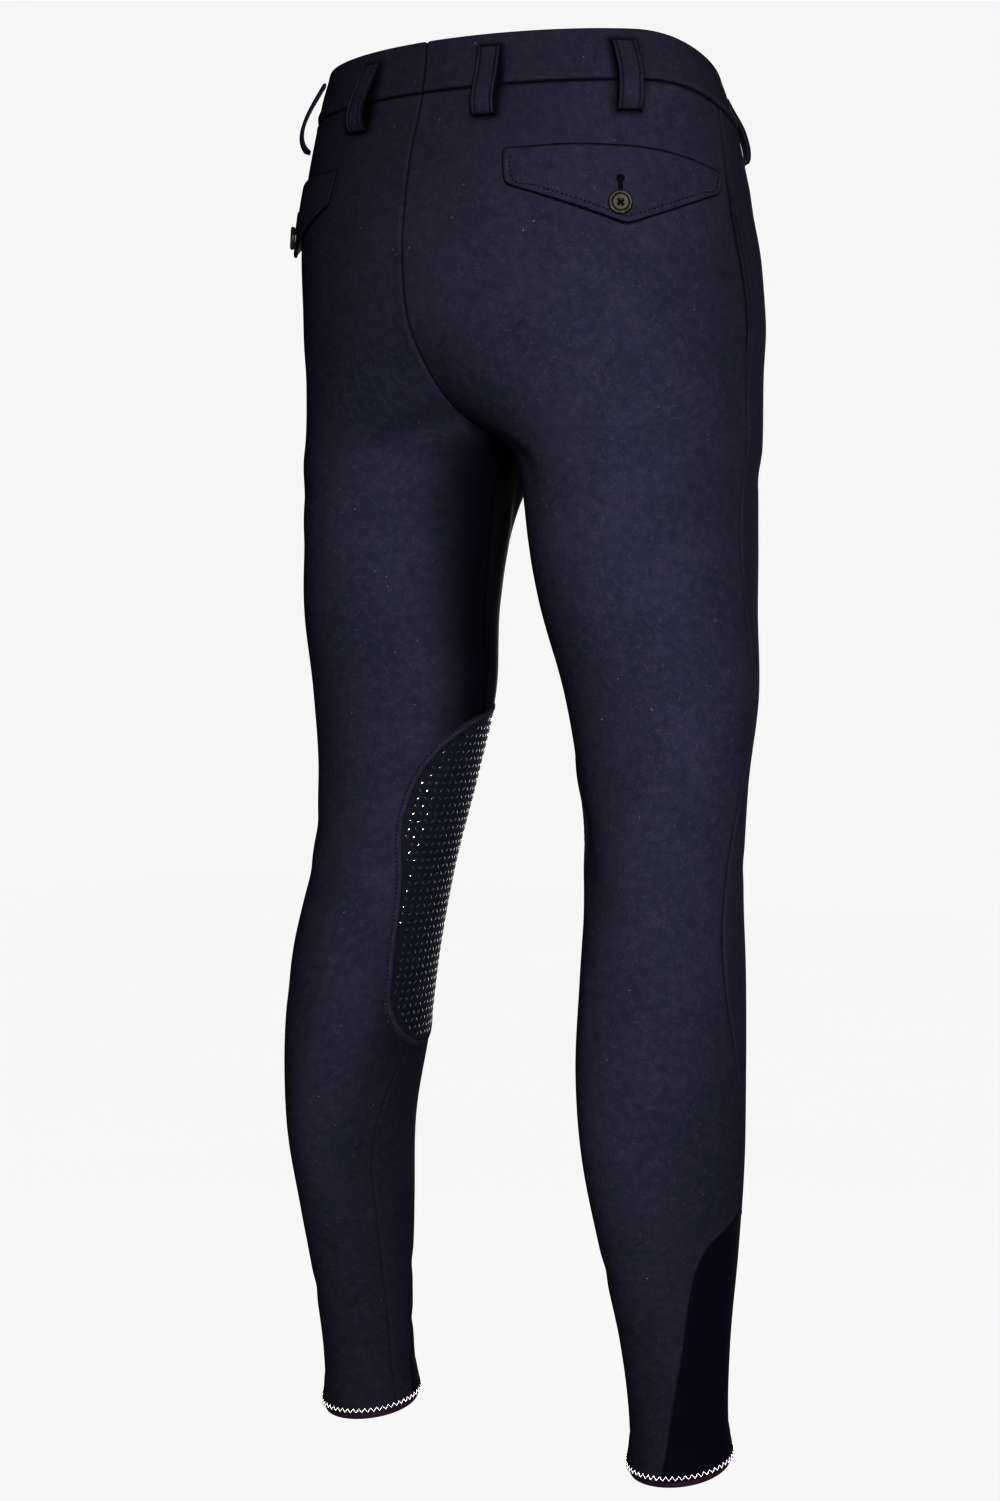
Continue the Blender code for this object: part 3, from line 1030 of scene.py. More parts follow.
@dataclass(frozen=True)
class GripCloth:
    """The dark, dense ground of the grip patches."""

    name: str
    deep: Colour = (0.0018, 0.0022, 0.0054)
    light: Colour = (0.0060, 0.0070, 0.0125)
    shadow: Colour = (0.0, 0.0, 0.001)

    def make(self) -> Material:
        """Builds the finish."""
        paint = Paint(self.name)
        where = paint.cloth_map()
        pore = paint.noise(where, 0.8, 3.0)
        cloud = paint.noise(where, 9.0, 2.0)
        colour = paint.blend(pore * 0.7 + cloud * 0.6 - 0.15, self.deep, self.light)
        paint.set(
            Base_Color=paint.blend(paint.shade(), colour, self.shadow),
            Roughness=pore * 0.25 + 0.45,
            Specular_IOR_Level=0.01,
            Normal=paint.bump(pore, 0.10),
        )
        return paint.material


@dataclass(frozen=True)
class Silicone:
    """The raised dashes of the grip patches, glossy clear rubber over the dark ground."""

    name: str
    low: Colour = (0.0015, 0.0020, 0.0045)
    high: Colour = (0.0050, 0.0056, 0.0095)
    gloss: float = 1.0

    def make(self) -> Material:
        """Builds the finish."""
        paint = Paint(self.name)
        where = paint.object_map()
        cloud = paint.noise(where, 5.0, 2.0)
        skin = paint.noise(where, 0.5, 2.0)
        paint.set(
            Base_Color=paint.blend(cloud, self.low, self.high),
            Roughness=skin * 0.14 + 0.14,
            Specular_IOR_Level=self.gloss,
            Normal=paint.bump(skin, 0.05),
        )
        return paint.material


@dataclass(frozen=True)
class Thread:
    """Twisted sewing thread."""

    name: str
    low: Colour
    high: Colour
    shine: float = 0.3
    twist_size: float = 0.45

    def make(self) -> Material:
        """Builds the finish."""
        paint = Paint(self.name)
        where = paint.object_map()
        twist = paint.ribs(where, self.twist_size, "DIAGONAL", Distortion=0.6)
        fuzz = paint.noise(where, 0.5, 2.0)
        paint.set(
            Base_Color=paint.blend(twist * 0.6 + fuzz * 0.4, self.low, self.high),
            Roughness=fuzz * 0.2 + 0.5,
            Specular_IOR_Level=self.shine,
            Normal=paint.bump(twist + fuzz * 0.5, 0.08),
        )
        return paint.material


@dataclass(frozen=True)
class HemTapeCloth:
    """Dark plum elastic tape with a ribbed face."""

    name: str
    deep: Colour = (0.0070, 0.0026, 0.0090)
    light: Colour = (0.0180, 0.0066, 0.0210)
    rib_size: float = 0.8

    def make(self) -> Material:
        """Builds the finish."""
        paint = Paint(self.name)
        where = paint.cloth_map()
        rib = paint.ribs(where, self.rib_size, "Y", Distortion=0.3)
        knit = paint.noise(where, 0.6, 2.0)
        paint.set(
            Base_Color=paint.blend(rib * 0.5 + knit * 0.5, self.deep, self.light),
            Roughness=knit * 0.2 + 0.55,
            Specular_IOR_Level=0.06,
            Normal=paint.bump(rib + knit * 0.4, 0.10),
        )
        return paint.material


@dataclass(frozen=True)
class Horn:
    """Polished dark buttons, clouded like horn."""

    name: str
    deep: Colour = (0.0036, 0.0036, 0.0040)
    light: Colour = (0.016, 0.016, 0.0165)

    def make(self) -> Material:
        """Builds the finish."""
        paint = Paint(self.name)
        where = paint.object_map()
        streak = paint.noise(where, 3.2, 4.0, 1.2)
        fine = paint.noise(where, 0.7, 2.0)
        tone = (streak - 0.42) * 3.0 + (fine - 0.5) * 0.4
        paint.set(
            Base_Color=paint.blend(tone, self.deep, self.light),
            Roughness=fine * 0.12 + 0.4,
            Specular_IOR_Level=0.08,
            Normal=paint.bump(fine, 0.02),
        )
        return paint.material


@dataclass(frozen=True)
class PaleFloor:
    """A plain pale floor."""

    name: str
    dark: Colour = (0.004, 0.004, 0.004)
    low: Colour = (0.943, 0.943, 0.943)
    high: Colour = (0.948, 0.948, 0.948)

    def make(self) -> Material:
        """Builds the finish, lit from below so that it shows no edge against the backdrop."""
        paint = Paint(self.name)
        cloud = paint.noise(paint.object_map(), 600.0, 2.0)
        paint.set(
            Base_Color=self.dark,
            Roughness=0.9,
            Specular_IOR_Level=0.0,
            Emission_Color=paint.blend(cloud, self.low, self.high),
            Emission_Strength=1.0,
        )
        return paint.material


@dataclass(frozen=True)
class Finishes:
    """All the garment's finishes, each made once."""

    cloth: Material = field(default_factory=StretchCloth("stretch_cloth").make)
    trim: Material = field(default_factory=StretchCloth("trim_cloth").make)
    elastic: Material = field(default_factory=SmoothElastic("smooth_elastic").make)
    grip: Material = field(default_factory=GripCloth("grip_ground").make)
    silicone: Material = field(default_factory=Silicone("silicone_dashes").make)
    navy_thread: Material = field(
        default_factory=Thread("navy_thread", (0.008, 0.008, 0.015), (0.018, 0.0176, 0.028), 0.08).make
    )
    dark_thread: Material = field(
        default_factory=Thread("dark_thread", (0.0003, 0.0003, 0.001), (0.0012, 0.0012, 0.0028), 0.03).make
    )
    white_thread: Material = field(
        default_factory=Thread("white_thread", (0.42, 0.40, 0.45), (0.62, 0.60, 0.66)).make
    )
    tape: Material = field(default_factory=HemTapeCloth("hem_tape_cloth").make)
    horn: Material = field(default_factory=Horn("clouded_horn").make)


# ---- The pieces ----

EDGE_STOPS = (0.0, 0.3, 0.7, 1.2, 1.9, 2.8, 4.0, 6.0, 9.0)
NARROW = 60.0
LOOP_ANGLES = (19.0, 56.0, 123.0)
LOOP_TOP, LOOP_BOTTOM, LOOP_WIDTH = 8.0, -38.0, 16.0


def loop_shadow(form: Form, height: float, angle: float) -> float:
    """The painted shadow close beside a belt loop: how much darker the cloth is made there.

    Args:
        form: The form that the cloth lies on.
        height: The point's height.
        angle: Its angle.

    Returns:
        The shade, from 0 to about 1.
    """
    above, below, aside, strongest, reach = 4, 8, 12, 0.9, (-0.5, 4.5)
    if not LOOP_BOTTOM - below < height < LOOP_TOP + above:
        return 0.0
    total = 0.0
    for loop in LOOP_ANGLES:
        if abs(angle - loop) < aside:
            across = abs(angle - loop) / form.degrees_for(height, loop, 1.0) - LOOP_WIDTH / 2
            past = max(LOOP_BOTTOM - height, height - LOOP_TOP, 0.0)
            total += strongest * (1 - ease(*reach, math.hypot(max(across, 0.0), past)))
    return total


class Stop(NamedTuple):
    """A column of a panel at one height, with its distances along the cloth from the panel's two edges."""

    angle: float
    from_start: float
    from_end: float


def spread(form: Form, height: float, start: float, end: float, columns: int) -> list[Stop]:
    """Spaces a panel's columns along the cloth, closer together near its edges.

    Args:
        form: The form that the panel lies on.
        height: The height of the row.
        start: The angle of the panel's first edge.
        end: The angle of its last edge.
        columns: How many columns there are between those that crowd the edges.

    Returns:
        The columns.
    """
    steps = 96
    angles = [mix(start, end, (1 - math.cos(math.pi * step / steps)) / 2) for step in range(steps + 1)]
    lengths = running([form.on_body(height, angle) for angle in angles])
    total = lengths[-1]
    shrink = min(1.0, total / NARROW)
    near = [stop * shrink for stop in EDGE_STOPS]
    places = list(near)
    places += [mix(near[-1], total - near[-1], step / (columns + 1)) for step in range(1, columns + 1)]
    places += [total - stop for stop in reversed(near)]
    stops = []
    for place in places:
        index = min(max(bisect.bisect_left(lengths, place), 1), steps)
        part = (place - lengths[index - 1]) / (lengths[index] - lengths[index - 1])
        angle = mix(angles[index - 1], angles[index], min(max(part, 0.0), 1.0))
        stops.append(Stop(angle, place, total - place))
    return stops


def groove(distance: float, depth: float = 0.9, width: float = 0.9) -> float:
    """The fall of the cloth into a seam, with the soft ridge of the seam's turned edges beside it."""
    return -depth * hump(distance, 0.0, width) + 0.22 * depth * hump(distance, 3.3, 1.5)


def runs(start: float, end: float, step: float) -> list[float]:
    """Even heights from start down to end, without end."""
    count = max(1, round((start - end) / step))
    return [mix(start, end, index / count) for index in range(count)]


class Part(Enum):
    """The two large panels of one leg."""

    BACK = "back"
    FRONT = "front"

    @classmethod
    def nodes(cls, side: Side) -> list[str]:
        """The nodes of one leg's panels."""
        return [f"{part.value}_{side.word}" for part in cls]


@dataclass
class Panels:
    """The back and front of both legs, each cut in one piece from the waist seam to the hem."""

    form: Form
    finishes: Finishes
    thick: float = 1.5
    edge_round: float = 0.7
    columns: int = 46
    row_step: float = 3.0
    crotch_step: float = 1.2
    crotch_rows: tuple[float, float] = (20.0, -24.0)
    arch_step: float = 0.8
    arch_rows: tuple[float, float] = (3.0, -40.0)
    waist_groove: float = 1.2
    faint_from: tuple[float, float] = (-560.0, -640.0)
    hem_turn: float = 19.0
    hem_proud: float = 0.55
    pocket_top: float = -57.0
    pocket_foot: float = -205.0
    lip_gape: float = 2.6
    lip_round: float = 0.9
    # Painted shade between the legs, where each leg shades the other: its strength, the angle of its middle,
    # how far round it reaches, the heights where it comes in and where it fades on the calves.
    between: float = 0.92
    between_angle: float = -104.0
    between_reach: tuple[float, float] = (22.0, 62.0)
    between_from: tuple[float, float] = (-196.0, -262.0)
    apart_from: tuple[float, float] = (-600.0, -700.0)
    flat: tuple[float, float] = (0.30, 0.93)
    cut_area: dict[Part, float] = field(default_factory=lambda: {Part.BACK: 0.167, Part.FRONT: 0.127})
    facing_columns: tuple[float, ...] = (-9, -5, 0, 5, 9, 12)
    facing_depths: tuple[float, float] = (0.5, 1.3)
    facing_flat: tuple[float, float] = (0.021, 0.157)

    def heights(self) -> list[float]:
        """The heights of the rows, closer where the shape turns quickly."""
        form = self.form
        fork_top, fork_foot = (form.crotch + reach for reach in self.crotch_rows)
        arch_top, arch_foot = (form.ankle_panel_top + reach for reach in self.arch_rows)
        top = [form.waist_seam - stop for stop in EDGE_STOPS[:-1]]
        down = runs(form.waist_seam - EDGE_STOPS[-1], fork_top, self.row_step)
        down += runs(fork_top, fork_foot, self.crotch_step)
        down += runs(fork_foot, arch_top, self.row_step)
        down += runs(arch_top, arch_foot, self.arch_step)
        down += runs(arch_foot, form.hem + EDGE_STOPS[-1], self.row_step)
        foot = [form.hem + stop for stop in reversed(EDGE_STOPS)]
        return top + down + foot

    def pocket_part(self, height: float) -> float:
        """How far the side pocket gapes at a height, from 0 to 1.

        Args:
            height: The height.

        Returns:
            The share of its widest.
        """
        if not self.pocket_foot < height < self.pocket_top:
            return 0.0
        part = (self.pocket_top - height) / (self.pocket_top - self.pocket_foot)
        return math.sin(math.pi * part) ** 0.6

    @staticmethod
    def from_seams(part: Part, stop: Stop) -> tuple[float, float]:
        """How far a column is from its panel's seam at the middle or inner leg, and from the side seam."""
        return (stop.from_start, stop.from_end) if part is Part.BACK else (stop.from_end, stop.from_start)

    def relief(self, part: Part, height: float, stop: Stop) -> float:
        """How far the cloth's outer face stands off the form at a point.

        Args:
            part: The panel.
            height: The point's height.
            stop: Its column.

        Returns:
            The distance, which is below 0 in a seam.
        """
        form = self.form
        centre, outer = self.from_seams(part, stop)
        total = groove(centre, 0.9 - 0.5 * ease(*self.faint_from, height))
        total += groove(form.waist_seam - height, self.waist_groove, self.waist_groove)
        gape = self.pocket_part(height)
        if part is Part.FRONT:
            total += groove(outer) * (1 - gape)
            total += gape * (self.lip_gape * hump(outer, 1.5, 6.0) - rounded(outer, self.lip_round))
            total -= gape * 0.5 * hump(outer, 5.5, 0.5)
        else:
            total += groove(outer, 0.9 + 0.6 * gape, 0.9 + 2.2 * gape)
        above = height - form.hem
        total += self.hem_proud * (1 - ease(self.hem_turn - 2, self.hem_turn + 1, above))
        total -= 0.25 * hump(above, self.hem_turn + 1, 1.2) + rounded(above, self.edge_round)
        return total

    def shade(self, part: Part, height: float, stop: Stop) -> float:
        """Painted shade at a point: in the seam grooves, the pocket's mouth, by the loops and between the
        legs.

        Args:
            part: The panel.
            height: The point's height.
            stop: Its column.

        Returns:
            The shade, from 0 to 1.
        """
        centre, outer = self.from_seams(part, stop)
        faint = 1 - 0.75 * ease(*self.faint_from, height)
        # Painted shade in the seam grooves, fainter below the knees.
        seams = max(0.7 * faint * hump(centre, 0.0, 0.9), 0.7 * hump(outer, 0.0, 0.9))
        seams = max(seams, hump(self.form.waist_seam - height, 0.0, 1.0))
        # Painted shade in the recess behind the side pocket's lip.
        pocket = self.pocket_part(height) * (hump(outer, 0.0, 3.4) if part is Part.BACK else 0.0)
        # Painted shade on the inner thighs, where the other leg shades them, fading out on the calves.
        turn = abs((stop.angle - self.between_angle + 180.0) % 360.0 - 180.0)
        legs = self.between * (1 - ease(*self.between_reach, turn)) * ease(*self.between_from, height)
        legs *= 1 - 0.85 * ease(*self.apart_from, height)
        # Painted shadow beside the belt loops.
        loops = loop_shadow(self.form, height, stop.angle)
        return min(1.0, max(0.85 * seams, 0.9 * pocket, loops) + legs)

    def build(self, part: Part, side: Side) -> None:
        """Makes one panel.

        Args:
            part: Back or front.
            side: The half of the garment.
        """
        form = self.form
        outer, inner, shades = [], [], []
        for height in self.heights():
            if part is Part.BACK:
                start, end = form.centre_back(height), form.rear_edge(height)
            else:
                start, end = form.fore_edge(height), form.centre_front(height)
            stops = spread(form, height, start, end, self.columns)
            angles = [stop.angle for stop in stops]
            lifts = [self.relief(part, height, stop) for stop in stops]
            depth = self.thick - rounded(height - form.hem, self.edge_round)
            outer.append(form.row(side, height, angles, lifts))
            inner.append(form.row(side, height, angles, [min(lift, 1.0) - depth for lift in lifts]))
            if height >= form.crotch:
                for row in (outer[-1], inner[-1]):
                    row[0 if part is Part.BACK else -1].x = form.middle_slit * side.value * MM
            shades.append([self.shade(part, height, stop) for stop in stops])
        name = f"{part.value}_{side.word}"
        piece = make_piece(f"{name}_cloth", slab(outer, inner, shades), self.finishes.cloth, [name])

    def facing(self, side: Side) -> None:
        """The narrow facing that shows inside the side pocket's mouth.

        Args:
            side: The half of the garment.
        """
        form = self.form
        outer, inner = [], []
        for height in runs(self.pocket_top + 6, self.pocket_foot - 8, 6.0):
            seam = read(SIDE_SEAM, height)
            spots = [seam + form.degrees_for(height, seam, reach) for reach in self.facing_columns]
            outer.append(form.row(side, height, spots, [-self.thick - self.facing_depths[0]] * len(spots)))
            inner.append(form.row(side, height, spots, [-self.thick - self.facing_depths[1]] * len(spots)))
        piece = make_piece(f"pocket_facing_{side.word}", slab(outer, inner), self.finishes.trim)
        Part.nodes(side)

    def make(self) -> None:
        """Makes both legs."""
        for side in Side:
            for part in Part:
                self.build(part, side)
            self.facing(side)


@dataclass
class AnklePanels:
    """The smooth elastic panels let into the outer sides of the lower legs."""

    form: Form
    finishes: Finishes
    thick: float = 1.5
    columns: int = 46
    slit: float = 0.08
    edge_round: float = 0.7
    hem_turn: tuple[float, float] = (17.0, 20.0)
    hem_proud: float = 0.55
    sunk: float = 0.15
    flat: tuple[float, float] = (0.145, 0.163)
    cut_area: float = 0.0132

    def build(self, side: Side) -> None:
        """Makes one ankle panel.

        Args:
            side: The half of the garment.
        """
        form = self.form
        heights = runs(form.ankle_panel_top - 0.6, form.ankle_panel_top - 40, 0.8)
        heights += runs(form.ankle_panel_top - 40, form.hem + EDGE_STOPS[-1], 3.0)
        heights += [form.hem + stop for stop in reversed(EDGE_STOPS)]
        outer, inner = [], []
        for height in heights:
            slit = form.degrees_for(height, form.rear_edge(height), self.slit)
            start, end = form.rear_edge(height) + slit, form.fore_edge(height) - slit
            stops = spread(form, height, start, end, self.columns)
            above = height - form.hem
            band = self.hem_proud * (1 - ease(*self.hem_turn, above)) - rounded(above, self.edge_round)
            arch = groove(form.ankle_panel_top - height, 0.5, 0.8)
            lifts = []
            for stop in stops:
                seam = min(groove(stop.from_start, 0.5, 0.7), groove(stop.from_end, 0.5, 0.7))
                lifts.append(band + min(arch, seam) - self.sunk)
            depth = self.thick - rounded(above, self.edge_round)
            angles = [stop.angle for stop in stops]
            outer.append(form.row(side, height, angles, lifts))
            inner.append(form.row(side, height, angles, [lift - depth for lift in lifts]))
        node = f"ankle_panel_{side.word}"
        piece = make_piece(f"{node}_knit", slab(outer, inner), self.finishes.elastic, [node])
        Part.nodes(side)

    def make(self) -> None:
        """Makes both."""
        for side in Side:
            self.build(side)


@dataclass
class Waistband:
    """The doubled band in two halves, joined at the centre back. The left laps over the right in front."""

    form: Form
    finishes: Finishes
    thick: float = 2.4
    proud: float = 0.6
    tab_length: float = 28.0
    tab_rise: float = 12.0
    step: float = 2.5
    notch: float = 1.0
    corner: float = 4.0
    length: float = 0.425

    def heights(self) -> list[float]:
        """The heights of the rows."""
        form = self.form
        edge = (0.0, 0.3, 0.7, 1.2, 2.0, 3.2, 4.6, 6.2)
        middle = runs(form.waist_top - 6.2, form.waist_seam + 6.2, 2.4)[1:]
        upper = [form.waist_top - stop for stop in edge]
        lower = [form.waist_seam + stop for stop in reversed(edge)]
        return upper + middle + lower

    def relief(self, height: float, from_back: float) -> float:
        """How far the band's face stands off its plain level.

        Args:
            height: The height.
            from_back: How far the point is from the centre back seam.

        Returns:
            The distance, in millimetres.
        """
        form = self.form
        above = height - form.waist_seam
        below = form.waist_top - height
        ridge = 0.55 * hump(above, 4.6, 1.9) - 0.25 * hump(above, 8.6, 2.2)
        fold = 0.25 * hump(below, 2.6, 1.8)
        return ridge + fold - 0.9 * hump(above, 0.0, 1.0) - 0.8 * hump(from_back, 0.0, 0.8)

    def build(self, side: Side) -> None:
        """Makes one half.

        Args:
            side: The half of the garment.
        """
        form = self.form
        seam = form.waist_seam
        end = 180.0 - form.degrees_for(0, 180, form.gap / 2)
        lap = form.degrees_for(0, 180, self.tab_length)
        rise = form.degrees_for(0, 180, self.tab_rise)
        last = end + lap if side is Side.LEFT else end
        stops = spread(form, seam, 0.0, last, round(form.on_body(seam, 90).x * math.pi / 2 / self.step))
        outer, inner, shades = [], [], []
        for height in self.heights():
            face, back = [], []
            # Painted shade in the waist seam's groove and the centre back seam, and painted shadow beside the
            # belt loops.
            low = 0.9 * hump(height - seam, 0.0, 0.9)
            shades.append(
                [
                    max(low, 0.8 * hump(stop.from_start, 0.0, 0.9), loop_shadow(form, height, stop.angle))
                    for stop in stops
                ]
            )
            for stop in stops:
                over = ease(end - rise, end, stop.angle) if side is Side.LEFT else 0.0
                square = 1.0 - rounded(stop.from_end, self.corner) / form.waist_top * over
                spot = height * square
                if height > 0:
                    spot -= self.notch * hump(stop.from_start, 0.0, 1.6) * height / form.waist_top
                lift = self.proud + over * (self.thick + form.gap)
                edge = min(form.waist_top - height, height - seam)
                fall = rounded(edge, 1.1)
                if side is Side.LEFT:
                    fall = max(fall, rounded(stop.from_end, 1.1))
                relief = self.relief(height, stop.from_start)
                face.append(form.laid(side, spot, stop.angle, lift + relief - fall))
                back.append(form.laid(side, spot, stop.angle, lift - self.thick + fall))
            outer.append(face)
            inner.append(back)
        node = f"waistband_{side.word}"
        piece = make_piece(f"{node}_cloth", slab(outer, inner, shades), self.finishes.cloth, [node])
        Part.nodes(side)

    def buttonhole(self) -> None:
        """The level buttonhole at the end of the tab, its edges bound with thread."""
        form = self.form
        lift = self.proud + self.thick + form.gap + 0.15
        middle = 180.0 + form.degrees_for(0, 180, self.tab_length * 0.42)
        step = form.degrees_for(0, 180, 1.0)
        ring = []
        for turn in range(24):
            angle = math.tau * turn / 24
            across = 9.5 * math.cos(angle)
            rise = 1.0 * math.sin(angle)
            ring.append(form.laid(Side.LEFT, rise, middle + across * step, lift))
        tube = thread_tube([ring], 0.5, True)
        make_piece("waist_buttonhole", tube, self.finishes.navy_thread)

    def make(self) -> None:
        """Makes both halves and the buttonhole."""
        for side in Side:
            self.build(side)
        self.buttonhole()


@dataclass
class Fly:
    """The fly's lap on the left front, with its curved line of stitches."""

    form: Form
    finishes: Finishes
    thick: float = 1.5
    width: float = 36.0
    foot: float = -150.0
    columns: int = 18
    stitch_inset: float = 4.0

    def width_at(self, height: float) -> float:
        """The lap's width at a height, which narrows to its rounded lower corner."""
        return self.width * math.sqrt(max(1 - ease(-110, self.foot - 12, height) ** 2, 0.0))

    def stops(self, height: float) -> list[Stop]:
        """The lap's columns at a height.

        Args:
            height: The height.

        Returns:
            The columns.
        """
        form = self.form
        edge = form.centre_front(height) - form.degrees_for(height, 180, form.gap / 2)
        start = edge - form.degrees_for(height, 175, self.width_at(height))
        return spread(form, height, start, edge, self.columns)

    def make(self) -> None:
        """Makes the lap and its stitches."""
        form = self.form
        heights = runs(form.waist_seam - 1.0, self.foot + 2, 2.5)
        heights += [self.foot + stop for stop in (2.0, 1.2, 0.6, 0.2, 0.0)]
        outer, inner, path = [], [], []
        for height in heights:
            lift = 2 * form.gap + self.thick
            face, back = [], []
            for stop in self.stops(height):
                fall = max(rounded(stop.from_start, 0.7), rounded(height - self.foot, 0.7))
                press = 0.35 * hump(stop.from_start, self.stitch_inset, 0.7)
                press += 0.35 * hump(height - self.foot, self.stitch_inset, 0.7)
                puff = 0.3 * hump(stop.from_start, 2.2, 1.4)
                face.append(form.laid(Side.LEFT, height, stop.angle, lift - fall - press + puff))
                back.append(form.laid(Side.LEFT, height, stop.angle, lift - self.thick + fall * 0.9))
            outer.append(face)
            inner.append(back)
            if height > self.foot + self.stitch_inset:
                edge = self.stops(height)[0].angle
                spot = edge + form.degrees_for(height, edge, self.stitch_inset)
                path.append(form.frame(Side.LEFT, height, spot, lift - 0.2))
        piece = make_piece("fly_cloth", slab(outer, inner), self.finishes.cloth, ["fly"])
        stitches = bmesh.new()
        Needle().sew(stitches, path)
        make_piece("fly_stitches", stitches, self.finishes.navy_thread)


class Edge(NamedTuple):
    """The two edges of the knee patch across one height, as angles."""

    height: float
    rear: float
    fore: float


KNEE_PATCH = (
    Edge(-419, -112, -126),
    Edge(-424, -94, -134),
    Edge(-430, -75, -139),
    Edge(-440, -60, -142),
    Edge(-450, -50, -144),
    Edge(-466, -40, -145),
    Edge(-488, -35, -145),
    Edge(-508, -36, -145),
    Edge(-546, -46, -145),
    Edge(-602, -53, -145),
    Edge(-620, -56, -145),
    Edge(-634, -64, -143),
    Edge(-645, -76, -139),
    Edge(-652, -89, -132),
    Edge(-656, -101, -115),
)


class Outline:
    """A closed outline on the cloth, in flat places across and up in millimetres."""

    def __init__(self, corners: Corners, steps: int, rounds: Sequence[float] = ()) -> None:
        """Draws the outline.

        Args:
            corners: The corners, in order.
            steps: How many even steps to divide it into.
            rounds: How much of each side a corner's rounding takes, or nothing for a curve through them.
        """
        line = self.fillets(corners, rounds) if rounds else self.curve(corners)
        self.points = self.even(line, steps)
        middle_x = (min(p.x for p in self.points) + max(p.x for p in self.points)) / 2
        middle_y = (min(p.y for p in self.points) + max(p.y for p in self.points)) / 2
        self.middle = Vector((middle_x, middle_y))

    @staticmethod
    def curve(corners: Corners) -> Points:
        """A closed smooth curve through the corners.

        Args:
            corners: The corners, in order.

        Returns:
            The curve's points.
        """
        count = len(corners)
        line = []
        for index in range(count):
            before, start, end, after = (Vector(corners[(index + step) % count]) for step in (-1, 0, 1, 2))
            for step in range(12):
                part = step / 12
                line.append(
                    0.5
                    * (
                        2 * start
                        + (end - before) * part
                        + (2 * before - 5 * start + 4 * end - after) * part**2
                        + (3 * start - before - 3 * end + after) * part**3
                    )
                )
        return line

    @staticmethod
    def fillets(corners: Corners, rounds: Sequence[float]) -> Points:
        """Straight sides with rounded corners.

        Args:
            corners: The corners, in order.
            rounds: The rounding at each.

        Returns:
            The outline's points.
        """
        count = len(corners)
        line = []
        for index in range(count):
            before, corner, after = (Vector(corners[(index + step) % count]) for step in (-1, 0, 1))
            start = corner + (before - corner).normalized() * rounds[index]
            end = corner + (after - corner).normalized() * rounds[index]
            for step in range(9):
                part = step / 8
                line.append(start * (1 - part) ** 2 + corner * 2 * part * (1 - part) + end * part**2)
        return line

    @staticmethod
    def even(line: Points, steps: int) -> Points:
        """Points at even distances along a closed line, with the first again at the end.

        Args:
            line: The line's own points.
            steps: How many to set.

        Returns:
            The points.
        """
        closed = [*line, line[0]]
        lengths = running(closed)
        points = []
        for step in range(steps):
            place = lengths[-1] * step / steps
            index = min(max(bisect.bisect_right(lengths, place), 1), len(line))
            run = max(lengths[index] - lengths[index - 1], 1e-9)
            points.append(closed[index - 1].lerp(closed[index], (place - lengths[index - 1]) / run))
        return [*points, points[0].copy()]

    def inward(self, index: int) -> Vector:
        """The direction straight inwards from a point."""
        steps = len(self.points) - 1
        along = self.points[(index + 1) % steps] - self.points[(index - 1) % steps]
        out = Vector((along.y, -along.x)).normalized()
        return out if out.dot(self.middle - self.points[index]) > 0 else -out

    def inset(self, index: int, distance: float) -> Vector:
        """The place that lies a distance inside the outline, straight in from a point."""
        return self.points[index] + self.inward(index) * distance

    def towards_middle(self, index: int, distance: float) -> Vector:
        """The place that lies a distance inside the outline, on the line from a point to the middle."""
        point = self.points[index]
        home = (self.middle - point).normalized()
        return point + home * distance / max(self.inward(index).dot(home), 0.3)


